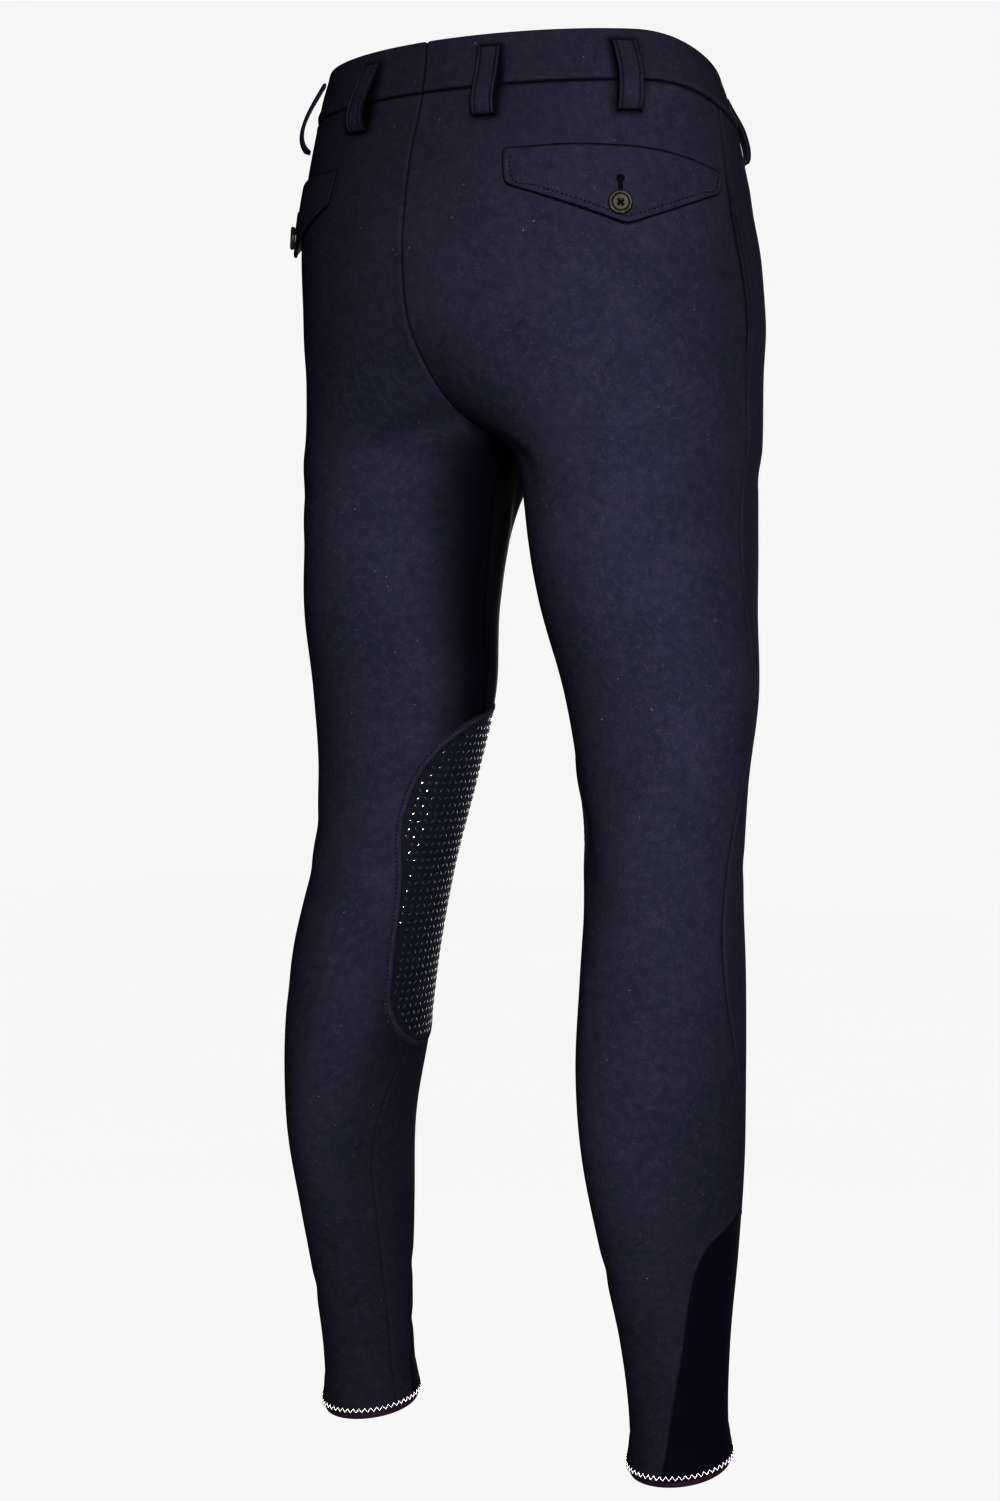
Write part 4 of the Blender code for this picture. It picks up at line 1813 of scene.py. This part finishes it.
@dataclass
class KneePatches:
    """The grip patches over the inner knees: a dark ground with raised dashes inside a band of cloth."""

    form: Form
    finishes: Finishes
    ground_lift: float = 0.45
    ground_thick: float = 0.4
    tuck: float = 3.0
    rim: tuple[tuple[float, float], ...] = (
        *((0.0, 0.02), (-0.15, 0.22), (0.1, 0.42), (0.4, 0.46), (0.7, 0.38), (0.95, 0.3), (1.2, 0.38)),
        *((1.6, 0.72), (2.2, 0.95), (3.1, 1.05), (3.9, 1.0), (4.4, 0.82), (4.65, 0.5), (4.7, 0.1)),
        *((2.4, 0.04), (0.0, 0.02)),
    )
    stitch_inset: float = 0.95
    around: int = 420
    dash_pitch: float = 5.3
    dash_length: float = 3.4
    dash_width: float = 1.45
    dash_height: float = 0.17
    dash_margin: float = 6.6
    dash_tilt: float = 42.0
    reference_height: float = -540.0
    flat: tuple[float, float] = (0.125, 0.237)
    cut_area: float = 0.0195

    def flat_step(self) -> float:
        """Millimetres to a degree in the flat drawing of the outline."""
        return self.form.girth_step(self.reference_height)

    def outline(self) -> Outline:
        """The patch's outer edge."""
        step = self.flat_step()
        rear = [(line.rear * step, line.height) for line in KNEE_PATCH]
        fore = [(line.fore * step, line.height) for line in reversed(KNEE_PATCH)]
        return Outline(rear + fore, self.around)

    def ground(self, side: Side) -> None:
        """The dark ground, tucked under the band.

        Args:
            side: The half of the garment.
        """
        form, tuck = self.form, self.tuck
        heights = runs(KNEE_PATCH[0].height - tuck, KNEE_PATCH[-1].height + tuck, 2.0)
        heights.append(KNEE_PATCH[-1].height + tuck)
        outer, inner = [], []
        for height in heights:
            rear, fore = read(KNEE_PATCH, height, "rear"), read(KNEE_PATCH, height, "fore")
            start = rear - form.degrees_for(height, rear, tuck)
            end = fore + form.degrees_for(height, fore, tuck)
            spots = [mix(start, end, step / 48) for step in range(49)]
            outer.append(form.row(side, height, spots, [self.ground_lift] * len(spots)))
            inner.append(form.row(side, height, spots, [self.ground_lift - self.ground_thick] * len(spots)))
        node = f"knee_patch_{side.word}"
        piece = make_piece(f"{node}_ground", slab(outer, inner), self.finishes.grip, [node])
        Part.nodes(side)

    def band(self, side: Side) -> None:
        """The raised band of cloth round the patch, with the stitches along its outer edge.

        Args:
            side: The half of the garment.
        """
        form, outline, step = self.form, self.outline(), self.flat_step()
        loops = []
        for inset, lift in self.rim:
            loop = []
            for index in range(self.around + 1):
                place = outline.inset(index % self.around, inset)
                loop.append(form.laid(side, place.y, place.x / step, lift))
            loops.append(loop)
        # Painted shade along the band's inner edge, where it steps down to the ground, and fainter along its
        # outer edge.
        edges = [max(0.9 * hump(inset, 4.8, 0.5), 0.4 * hump(inset, -0.2, 0.3)) for inset, _ in self.rim]
        band = closed_band(loops, [[shade] * (self.around + 1) for shade in edges])
        make_piece(f"knee_band_{side.word}", band, self.finishes.cloth)
        path = []
        for index in range(self.around + 1):
            place = outline.inset(index % self.around, self.stitch_inset)
            path.append(form.frame(side, place.y, place.x / step, 0.42))
        stitches = bmesh.new()
        Needle().sew(stitches, path)
        make_piece(f"knee_stitches_{side.word}", stitches, self.finishes.dark_thread)

    def inside(self, height: float, angle: float) -> bool:
        """Whether a dash at a place is clear of the band.

        Args:
            height: The height.
            angle: The angle round the leg.

        Returns:
            Whether it is clear.
        """
        form, margin = self.form, self.dash_margin
        if not KNEE_PATCH[-1].height + margin < height < KNEE_PATCH[0].height - margin:
            return False
        step = form.girth_step(height)
        for reach in (-margin * 0.8, 0.0, margin * 0.8):
            rear = read(KNEE_PATCH, height + reach, "rear")
            fore = read(KNEE_PATCH, height + reach, "fore")
            if not fore * step + margin < angle * step < rear * step - margin:
                return False
        return True

    def dashes(self, side: Side) -> None:
        """The raised dashes, which lean one way and the other by turns.

        Args:
            side: The half of the garment.
        """
        form = self.form
        mesh, bead = bmesh.new(), Bead(8, 4)
        top, foot = KNEE_PATCH[0].height, KNEE_PATCH[-1].height
        for row in range(int((top - foot) / self.dash_pitch) + 1):
            height = top - row * self.dash_pitch
            step = form.girth_step(height)
            for column in range(-30, 31):
                angle = -92.0 + column * self.dash_pitch / step
                if not self.inside(height, angle):
                    continue
                spot = form.frame(side, height, angle, self.ground_lift)
                lean = math.radians(self.dash_tilt * (1 if (row + column) % 2 else -1))
                along = (spot.around * math.sin(lean) + spot.up * math.cos(lean)).normalized()
                size = Vector((self.dash_width / 2, self.dash_height, self.dash_length / 2)) * MM
                stand = basis(along.cross(spot.out).normalized(), spot.out, along, spot.point, size)
                bead.press(mesh, stand)
        make_piece(f"knee_dashes_{side.word}", mesh, self.finishes.silicone)

    def make(self) -> None:
        """Makes both patches."""
        for side in Side:
            self.band(side)
            self.dashes(side)
            self.ground(side)


@dataclass
class PocketFlaps:
    """The pointed flaps on the seat, each with a keyhole buttonhole."""

    form: Form
    finishes: Finishes
    thick: float = 2.0
    stand_off: tuple[float, float] = (0.3, 3.0)
    top: float = -59.0
    tip: float = -111.0
    corners: tuple[Place, ...] = (
        Place(60, -60.9),
        Place(87.4, -70.4),
        Place(85, -87),
        Place(56, -111.3),
        Place(26, -84.5),
        Place(24.6, -60.6),
        Place(42, -58.9),
    )
    top_corners: tuple[int, ...] = (5, 6, 0, 1)
    rounds: tuple[float, ...] = (11.0, 5.5, 5.0, 4.0, 4.5, 3.5, 11.0)
    rings: tuple[float, ...] = (0.0, 0.2, 0.5, 0.9, 1.5, 2.3, 3.1, 3.7, 4.1, 4.5, 4.9, 5.5, 6.6)
    inner_rings: int = 12
    around: int = 220
    stitch_inset: float = 4.3
    button: Place = Place(54, -98)
    hole_top: float = -80.5
    slit_height: float = 0.35
    reference: Place = Place(55, -85)
    flat: tuple[float, float] = (0.146, 0.053)
    cut_area: float = 0.0054

    def step(self) -> float:
        """Millimetres to a degree in the flat drawing of the outline."""
        return 1.0 / self.form.degrees_for(self.reference.height, self.reference.angle, 1.0)

    def lift(self, height: float) -> float:
        """How far the flap's outer face stands off the seat."""
        near, far = self.stand_off
        part = min(max((self.top - height) / (self.top - self.tip), 0.0), 1.2)
        return near + (far - near) * part + self.thick

    def outline(self) -> Outline:
        """The flap's edge."""
        step = self.step()
        return Outline([(c.angle * step, c.height) for c in self.corners], self.around, self.rounds)

    def loose(self, place: Vector) -> float:
        """1 along the flap's free edges and 0 along the seam at its top."""
        return ease(1.0, 6.0, self.top_line(place.x / self.step()) - place.y)

    def top_line(self, angle: float) -> float:
        """The height of the seam at the flap's top.

        Args:
            angle: The angle round the leg.

        Returns:
            The seam's height there.
        """
        line = [self.corners[index] for index in self.top_corners]
        for here, there in zip(line, line[1:]):
            if angle <= there.angle:
                break
        return mix(here.height, there.height, (angle - here.angle) / (there.angle - here.angle))

    def relief(self, distance: float, loose: float) -> float:
        """How far the flap's face stands off its plain level at a distance from its edge.

        Args:
            distance: How far the point is from the edge.
            loose: 1 at a free edge, 0 at the seam.

        Returns:
            The distance, in millimetres.
        """
        seam = -1.1 * hump(distance, 0.0, 1.1) * (1 - loose)
        puff = 0.5 * hump(distance, 2.2, 1.5) - 0.25 * hump(distance, self.stitch_inset, 0.7)
        roll = 0.2 * hump(distance, 6.4, 1.6)
        return seam + loose * (puff + roll) - rounded(distance, 0.95)

    def build(self, side: Side) -> None:
        """Makes one flap.

        Args:
            side: The half of the garment.
        """
        form, outline, step = self.form, self.outline(), self.step()
        outer, inner, cut = [], [], []
        for ring in range(len(self.rings) + self.inner_rings):
            face, back, spots = [], [], []
            for index in range(self.around + 1):
                spot = index % self.around
                last = outline.towards_middle(spot, self.rings[-1])
                if ring < len(self.rings):
                    distance = self.rings[ring]
                    place = outline.towards_middle(spot, distance)
                else:
                    part = (ring - len(self.rings) + 1) / self.inner_rings
                    distance = self.rings[-1] + part * 15
                    place = last.lerp(outline.middle, part)
                lift = self.lift(place.y)
                relief = self.relief(distance, self.loose(outline.points[spot]))
                face.append(form.laid(side, place.y, place.x / step, lift + relief))
                lower = lift - self.thick + rounded(distance, 0.9)
                back.append(form.laid(side, place.y, place.x / step, lower))
                spots.append((place.x * MM, place.y * MM))
            outer.append(face)
            inner.append(back)
            cut.append(spots)
        node = f"pocket_flap_{side.word}"
        rings = [*self.rings, *([9.0] * self.inner_rings)]
        free = [self.loose(outline.points[index % self.around]) for index in range(self.around + 1)]
        # Painted shade: a dark line along the seam at the top and along the free edges, and an even shade
        # over the flap's underside.
        shades = [[0.95 * hump(ring, 0.0, 1.3 - 0.6 * loose) for loose in free] for ring in rings]
        plain = [[0.3] * (self.around + 1)] * len(rings)
        mesh = closed_band(
            [*outer, *reversed(inner), outer[0]], [*shades, *plain, shades[0]], [*cut, *reversed(cut), cut[0]]
        )
        piece = make_piece(f"{node}_cloth", mesh, self.finishes.trim, [node])

    def stitches(self, side: Side) -> None:
        """The line of stitches along the flap's free edges.

        Args:
            side: The half of the garment.
        """
        form, outline, step = self.form, self.outline(), self.step()
        path = []
        for index in range(self.around + 1):
            spot = index % self.around
            if self.loose(outline.points[spot]) < 0.35:
                if path:
                    break
                continue
            place = outline.towards_middle(spot, self.stitch_inset)
            path.append(form.frame(side, place.y, place.x / step, self.lift(place.y) - 0.1))
        mesh = bmesh.new()
        Needle().sew(mesh, path)
        make_piece(f"flap_stitches_{side.word}", mesh, self.finishes.dark_thread)

    def buttonhole(self, side: Side) -> None:
        """The upright keyhole buttonhole, its edge bound with thread, and a dark shape for the shade in its
        opening.

        Args:
            side: The half of the garment.
        """
        form, step = self.form, self.step()
        eye, foot, eye_radius, half = self.hole_top - 2.0, self.button.height + 3.0, 1.9, 0.8
        ring = []
        opening = math.asin(half / eye_radius)
        for turn in range(17):
            angle = mix(-math.pi / 2 + opening, 1.5 * math.pi - opening, turn / 16)
            ring.append((eye_radius * math.cos(angle), eye + eye_radius * math.sin(angle)))
        ring += [(-half, mix(ring[-1][1], foot, part / 10)) for part in range(1, 11)]
        ring += [(half, mix(foot, ring[0][1], part / 10)) for part in range(10)]
        middle = self.button.angle * step
        points = [
            form.laid(side, rise, (middle + across) / step, self.lift(rise) + 0.12) for across, rise in ring
        ]
        tube = thread_tube([points], 0.7, True)
        # A dark shape stands for the shade inside the buttonhole's eye and slit.
        slit, bead = bmesh.new(), Bead(20, 6)
        straight = (mix(eye, foot, 0.5), half, (eye - foot) / 2)
        for rise, wide, tall in ((eye, eye_radius, eye_radius), straight):
            spot = form.frame(side, rise, middle / step, self.lift(rise) - 0.05)
            size = Vector((wide, tall, self.slit_height)) * MM
            bead.press(slit, basis(spot.around, spot.up, spot.out, spot.point, size))
        make_piece(f"flap_slit_{side.word}", slit, self.finishes.dark_thread)
        make_piece(f"flap_buttonhole_{side.word}", tube, self.finishes.dark_thread)

    def make(self) -> None:
        """Makes both flaps."""
        for side in Side:
            self.stitches(side)
            self.buttonhole(side)
            self.build(side)


@dataclass
class Buttons:
    """Four-hole buttons with a rounded rim and a dished face, sewn on with crossed thread."""

    form: Form
    finishes: Finishes
    flaps: PocketFlaps
    band: Waistband
    radius: float = 8.0
    rim: float = 1.3
    height: float = 3.2
    dish: float = 1.0
    hole: float = 0.9
    hole_from_middle: float = 1.9
    around: int = 72
    thread: float = 0.42

    def profile(self) -> list[tuple[float, float]]:
        """The section from the middle of the underside round to the middle of the face."""
        bottom = [(0.0, 0.0), (2.0, 0.0)]
        bottom += [(self.radius - self.rim * 1.4, 0.05), (self.radius - self.rim, 0.15)]
        side = []
        for step in range(9):
            turn = mix(-75, 90, step / 8)
            reach = self.radius - self.rim + self.rim * math.cos(math.radians(turn))
            rise = self.height * 0.55 + self.height * 0.45 * math.sin(math.radians(turn))
            side.append((reach, rise))
        edge, floor = self.radius - self.rim * 1.5, self.height - self.dish
        slope = [
            (edge - self.rim * 1.1 * part, mix(self.height, floor, ease(0, 1, part)))
            for part in (0.15, 0.35, 0.55, 0.75, 0.9, 1.0)
        ]
        start = slope[-1][0]
        face = [(start * (1 - step / 26), floor) for step in range(1, 27)]
        return bottom + side + slope + face

    def pierced(self, across: float, along: float, rise: float) -> float:
        """The height of the face once the four holes are sunk into it.

        Args:
            across: The place across.
            along: The place up.
            rise: The plain height.

        Returns:
            The height once pierced.
        """
        if rise < self.height - self.dish - 0.01:
            return rise
        reach = self.hole_from_middle / math.sqrt(2)
        gap = math.hypot(abs(across) - reach, abs(along) - reach)
        return rise - 1.5 * ease(self.hole + 0.1, self.hole - 0.2, gap)

    def build(self, name: str, spot: Frame, node: str) -> None:
        """Makes one button and its thread.

        Args:
            name: The button's name.
            spot: Where its underside lies, and its directions.
            node: The solid that it stands for.
        """
        across = spot.up.cross(spot.out).normalized()
        up = spot.out.cross(across).normalized()
        rows = []
        for reach, rise in self.profile():
            row = []
            for step in range(self.around + 1):
                turn = math.tau * (step % self.around) / self.around
                x, y = reach * math.cos(turn), reach * math.sin(turn)
                z = self.pierced(x, y, rise)
                row.append(spot.point + (across * x + up * y + spot.out * z) * MM)
            rows.append(row)
        button = bmesh.new()
        bmesh.ops.create_grid(button, x_segments=self.around, y_segments=len(rows) - 1, size=0.5)
        for vert, (row, column) in grid_cells(button, self.around, len(rows) - 1).items():
            vert.co = rows[row][column]
        bmesh.ops.remove_doubles(button, verts=button.verts, dist=0.0000005)
        make_piece(name, button, self.finishes.horn, [node])
        reach = self.hole_from_middle / math.sqrt(2)
        floor = self.height - self.dish
        lines = []
        for sign in (1, -1):
            for shift in (-0.25, 0.25):
                ends = [(-reach + shift, -reach * sign - 0.2), (reach + shift, reach * sign - 0.2)]
                line = []
                for step in range(9):
                    part = step / 8
                    x, y = mix(ends[0][0], ends[1][0], part), mix(ends[0][1], ends[1][1], part)
                    z = floor - 0.7 + 1.25 * math.sin(math.pi * part) ** 0.5 + 0.15 * (sign > 0)
                    line.append(spot.point + (across * x + up * y + spot.out * z) * MM)
                lines.append(line)
        tube = thread_tube(lines, self.thread, False)
        make_piece(f"{name}_thread", tube, self.finishes.dark_thread)

    def make(self) -> None:
        """Makes all three."""
        form = self.form
        place = self.flaps.button
        for side in Side:
            spot = form.frame(side, place.height, place.angle, self.flaps.lift(place.height) + form.gap)
            node = f"flap_button_{side.word}"
            self.build(f"{node}_horn", spot, node)
        tab = 180.0 + form.degrees_for(0, 180, self.band.tab_length * 0.55)
        point = form.laid(Side.LEFT, 0.0, tab, self.band.proud + self.band.thick + 2 * form.gap)
        flat = form.outward(0.0, tab)
        up = (form.on_body(1.0, tab) - form.on_body(-1.0, tab)).normalized()
        self.build("waist_button_horn", Frame(point, up.cross(flat), up, flat), "waist_button")


@dataclass
class BeltLoops:
    """The six belt loops: doubled strips sewn down at both ends and bowed off the waistband between them."""

    form: Form
    finishes: Finishes
    proud: float = 0.6
    thick: float = 2.0
    width: float = LOOP_WIDTH
    top: float = LOOP_TOP
    bottom: float = LOOP_BOTTOM
    steps: int = 56
    columns: tuple[float, ...] = (0.0, 0.25, 0.6, 1.1, 1.7, 2.2, 2.6, 3.0, 3.8, 5.5, 8.0)
    stitch_inset: float = 2.6
    flat: tuple[float, float] = (0.016, 0.056)
    places: dict[str, tuple[float, float]] = field(
        default_factory=lambda: dict(zip(("back", "side", "front"), zip(LOOP_ANGLES, (7.0, 8.0, 4.0))))
    )
    sag: float = 2.0

    def centre(self, angle: float, bow: float, part: float) -> Vector:
        """A point on the strip's middle line, in millimetres, for the left half.

        Args:
            angle: The loop's angle.
            bow: How far it bows out.
            part: How far down it is, from 0 to 1.

        Returns:
            The point.
        """
        form = self.form
        height = mix(self.top, self.bottom, part)
        swing = math.sin(math.pi * part**self.sag) ** 0.5
        lift = mix(self.proud, 0.0, part) + 2 * form.gap + bow * swing
        return form.on_body(height, angle) + form.outward(height, angle) * (lift + self.thick / 2)

    def strip(self, angle: float, bow: float, part: float) -> tuple[Vector, Vector, Vector]:
        """The strip's middle line at a part of its length, with its sideways and outward directions.

        Args:
            angle: The loop's angle.
            bow: How far it bows out.
            part: How far down it is, from 0 to 1.

        Returns:
            The point and the two directions.
        """
        form = self.form
        height = mix(self.top, self.bottom, part)
        ahead, behind = min(part + 0.01, 1.0), max(part - 0.01, 0.0)
        down = self.centre(angle, bow, ahead) - self.centre(angle, bow, behind)
        sideways = (form.on_body(height, angle + 1) - form.on_body(height, angle - 1)).normalized()
        out = sideways.cross(down).normalized()
        return self.centre(angle, bow, part), sideways, out

    def shade(self, edge: float, end: float) -> float:
        """The painted shade along the strip's stitches, its edges and its ends: how much darker it is made.

        Args:
            edge: How far the point is from the strip's nearer edge.
            end: How far it is from the nearer end.

        Returns:
            The shade, from 0 to 1.
        """
        # Painted shade in the stitch grooves, along the edges and under the sewn ends.
        stitched = 0.5 * hump(edge, self.stitch_inset, 0.6)
        return max(stitched, 0.9 * hump(edge, 0.0, 0.35), 0.9 * hump(end, 0.0, 0.7))

    def build(self, word: str, side: Side) -> None:
        """Makes one loop and its stitches.

        Args:
            word: Which loop of its half.
            side: The half of the garment.
        """
        angle, bow = self.places[word]
        spots = [*self.columns, *(self.width - spot for spot in reversed(self.columns[:-1]))]
        outer, inner, shades = [], [], []
        paths = ([], [])
        mirror = Vector((side.value, 1, 1)) * MM
        for row in range(self.steps + 1):
            part = row / self.steps
            middle, sideways, out = self.strip(angle, bow, part)
            end = min(part, 1 - part) * (self.top - self.bottom)
            face, back = [], []
            for spot in spots:
                edge = min(spot, self.width - spot)
                fall = max(rounded(edge, 0.9), rounded(end, 0.9))
                puff = 0.45 * hump(edge, 1.2, 0.8) - 0.35 * hump(edge, self.stitch_inset, 0.6)
                across = sideways * (spot - self.width / 2)
                outside = middle + across + out * (self.thick / 2 + puff - fall)
                inside = middle + across - out * (self.thick / 2 - fall)
                face.append(outside * mirror)
                back.append(inside * mirror)
            outer.append(face)
            inner.append(back)
            shades.append([self.shade(min(spot, self.width - spot), end) for spot in spots])
            for path, sign in zip(paths, (-1, 1)):
                place = middle + sideways * sign * (self.width / 2 - self.stitch_inset)
                place += out * (self.thick / 2 - 0.1)
                level = Vector((out.x * side.value, out.y, out.z))
                path.append(Frame(place * mirror, sideways, sideways, level))
        node = f"belt_loop_{word}_{side.word}"
        piece = make_piece(f"{node}_cloth", slab(outer, inner, shades), self.finishes.trim, [node])
        stitches = bmesh.new()
        for path in paths:
            Needle(length=1.4, gap=1.2, radius=0.3).sew(stitches, path)
        make_piece(f"loop_stitches_{word}_{side.word}", stitches, self.finishes.dark_thread)

    def make(self) -> None:
        """Makes all six."""
        for side in Side:
            for word in self.places:
                self.build(word, side)


@dataclass
class Hems:
    """The grip tape inside each hem and the white zigzag along its edge."""

    form: Form
    finishes: Finishes
    cloth: float = 1.5
    inside: float = 1.3
    thick: float = 1.0
    above: float = 12.0
    below: float = 3.5
    around: int = 160
    period: float = 4.1
    zigzag_height: float = 2.7
    zigzag_middle: float = 2.2
    thread: float = 0.24
    flat: tuple[float, float] = (0.27, 0.0155)

    def tape(self, side: Side) -> None:
        """The tape, a closed ring that shows below the cloth.

        Args:
            side: The half of the garment.
        """
        form = self.form
        top, foot, face = form.hem + self.above, form.hem - self.below, self.cloth + self.inside
        section = [(top - 0.4, face), (form.hem + 2, face), (form.hem - 1, face - 0.15), (foot + 0.5, face)]
        section += [(foot, face + 0.3), (foot, face + self.thick - 0.3), (foot + 0.5, face + self.thick)]
        section += [(form.hem, face + self.thick), (top - 0.4, face + self.thick), (top, face + 0.5)]
        section.append(section[0])
        loops = []
        for height, depth in section:
            loop = []
            for step in range(self.around + 1):
                angle = 360.0 * (step % self.around) / self.around
                point = form.on_body(height, angle) - form.outward(height, angle) * depth
                loop.append(Vector((point.x * side.value, point.y, point.z)) * MM)
            loops.append(loop)
        node = f"hem_tape_{side.word}"
        piece = make_piece(f"{node}_elastic", closed_band(loops), self.finishes.tape, [node])
        Part.nodes(side)

    def girth(self, height: float) -> float:
        """The length of the hem's edge."""
        return running([self.form.on_body(height, angle) for angle in range(0, 361, 4)])[-1]

    def zigzag(self, side: Side) -> None:
        """The white zigzag on the face of the hem.

        Args:
            side: The half of the garment.
        """
        form = self.form
        height = form.hem + self.zigzag_middle
        count = round(self.girth(height) / self.period)
        smooth = 8
        angles = [step * 0.5 for step in range(721)]
        lengths = running([form.on_body(height, angle) for angle in angles])
        run = []
        for step in range(count * smooth):
            place = lengths[-1] * step / (count * smooth)
            index = min(max(bisect.bisect_right(lengths, place), 1), len(angles) - 1)
            part = (place - lengths[index - 1]) / (lengths[index] - lengths[index - 1])
            angle = mix(angles[index - 1], angles[index], part)
            phase = (step % smooth) / smooth
            wave = 1 - 4 * abs(phase - 0.5)
            dip = 0.34 * ease(0.55, 1.0, abs(wave))
            rise = height + self.zigzag_height / 2 * wave
            run.append(form.laid(side, rise, angle, 0.95 - dip - rounded(rise - form.hem, 0.7)))
        tube = thread_tube([run], self.thread, True)
        make_piece(f"hem_zigzag_{side.word}", tube, self.finishes.white_thread)

    def make(self) -> None:
        """Makes both hems."""
        for side in Side:
            self.tape(side)
            self.zigzag(side)


# ---- The studio ----


def facing(place: Sequence[float], aim: Vector) -> Matrix:
    """The stand of a lamp or camera at a place that looks in a direction."""
    return Matrix.Translation(place) @ aim.to_track_quat("-Z", "Y").to_matrix().to_4x4()


@dataclass(frozen=True)
class Lamp:
    """A soft rectangular studio light that faces a point of the garment."""

    name: str
    place: tuple[float, float, float]
    target: tuple[float, float, float]
    size: tuple[float, float]
    power: float
    tint: Colour = (1.0, 1.0, 1.0)
    spread: float = 180.0
    diffuse: bool = True

    def hang(self) -> None:
        """Adds the light."""
        light = bpy.data.lights.new(self.name, "AREA")
        light.shape = "RECTANGLE"
        light.size, light.size_y = self.size
        light.energy = self.power
        light.color = self.tint
        light.spread = math.radians(self.spread)
        holder = bpy.data.objects.new(self.name, light)
        holder.matrix_world = facing(self.place, Vector(self.target) - Vector(self.place))
        holder.visible_diffuse = self.diffuse
        bpy.context.scene.collection.objects.link(holder)


@dataclass(frozen=True)
class Studio:
    """A plain pale floor, soft light and a camera behind the wearer's right side."""

    turn: float = 39.0
    distance: float = 2.042
    camera_height: float = -0.367
    sideways: float = 0.0155
    image_height: float = 1501.0
    focal_pixels: float = 3011.0
    horizon: float = 630.0
    sensor: float = 36.0
    floor_height: float = -1.30
    floor_size: float = 14.0
    backdrop: float = 0.9483
    contrast: float = 0.65
    lamps: tuple[Lamp, ...] = (
        Lamp("key", (-1.85, 1.95, 0.05), (-0.09, 0.05, -0.37), (0.5, 0.7), 35.5, (1.0, 0.92, 0.79), 42.0),
        Lamp("left", (2.3, 1.3, 0.20), (0.05, 0.0, -0.15), (0.8, 1.0), 0.66, (0.38, 0.56, 1.0), 46.0),
        Lamp("right", (-2.1, -1.5, 0.20), (-0.05, 0.0, -0.15), (0.8, 1.0), 0.40, (0.55, 0.66, 1.0), 46.0),
        Lamp("front", (1.45, -2.10, 0.30), (0.0, 0.0, -0.40), (1.2, 2.0), 170.0),
        Lamp("sheen", (0.45, -2.30, -0.40), (0.10, 0.0, -0.53), (2.2, 1.5), 48.0, diffuse=False),
    )

    def camera(self) -> None:
        """Adds the camera."""
        turn = math.radians(self.turn)
        ahead = Vector((math.sin(turn), -math.cos(turn), 0.0))
        right = Vector((-math.cos(turn), -math.sin(turn), 0.0))
        lens = bpy.data.cameras.new("camera")
        lens.sensor_width = self.sensor
        lens.lens = self.focal_pixels / self.image_height * self.sensor
        lens.clip_start, lens.clip_end = 0.05, 50.0
        holder = bpy.data.objects.new("camera", lens)
        lens.shift_y = (self.horizon - self.image_height / 2) / self.image_height
        place = -ahead * self.distance - right * self.sideways + Vector((0.0, 0.0, self.camera_height))
        holder.matrix_world = facing(place, ahead)
        bpy.context.scene.collection.objects.link(holder)
        bpy.context.scene.camera = holder

    def floor(self) -> None:
        """Adds the floor."""
        sheet = bmesh.new()
        bmesh.ops.create_grid(sheet, x_segments=1, y_segments=1, size=self.floor_size / 2)
        bmesh.ops.translate(sheet, vec=(0, 0, self.floor_height), verts=sheet.verts)
        mesh = bpy.data.meshes.new("floor")
        sheet.to_mesh(mesh)
        sheet.free()
        mesh.materials.append(PaleFloor("pale_floor").make())
        floor = bpy.data.objects.new("floor", mesh)
        bpy.context.scene.collection.objects.link(floor)

    def set_up(self) -> None:
        """Adds the backdrop's light, the floor, the lamps and the camera."""
        world = bpy.data.worlds.new("studio")
        world.use_nodes = True
        world.node_tree.nodes["Background"].inputs["Color"].default_value = (*(self.backdrop,) * 3, 1.0)
        bpy.context.scene.world = world
        world.cycles_visibility.glossy = False
        world.cycles_visibility.diffuse = False
        bpy.context.scene.view_settings.view_transform = "Standard"
        bpy.context.scene.view_settings.gamma = self.contrast
        self.floor()
        for lamp in self.lamps:
            lamp.hang()
        self.camera()


def main() -> None:
    """Builds the garment piece by piece, then the studio."""
    logging.basicConfig(level=logging.INFO, format="%(name)s %(message)s")
    form = Form()
    finishes = Finishes()
    Panels(form, finishes).make()
    AnklePanels(form, finishes).make()
    band = Waistband(form, finishes)
    band.make()
    Fly(form, finishes).make()
    KneePatches(form, finishes).make()
    flaps = PocketFlaps(form, finishes)
    flaps.make()
    Buttons(form, finishes, flaps, band).make()
    BeltLoops(form, finishes).make()
    Hems(form, finishes).make()
    Studio().set_up()


if __name__ == "__main__":
    main()
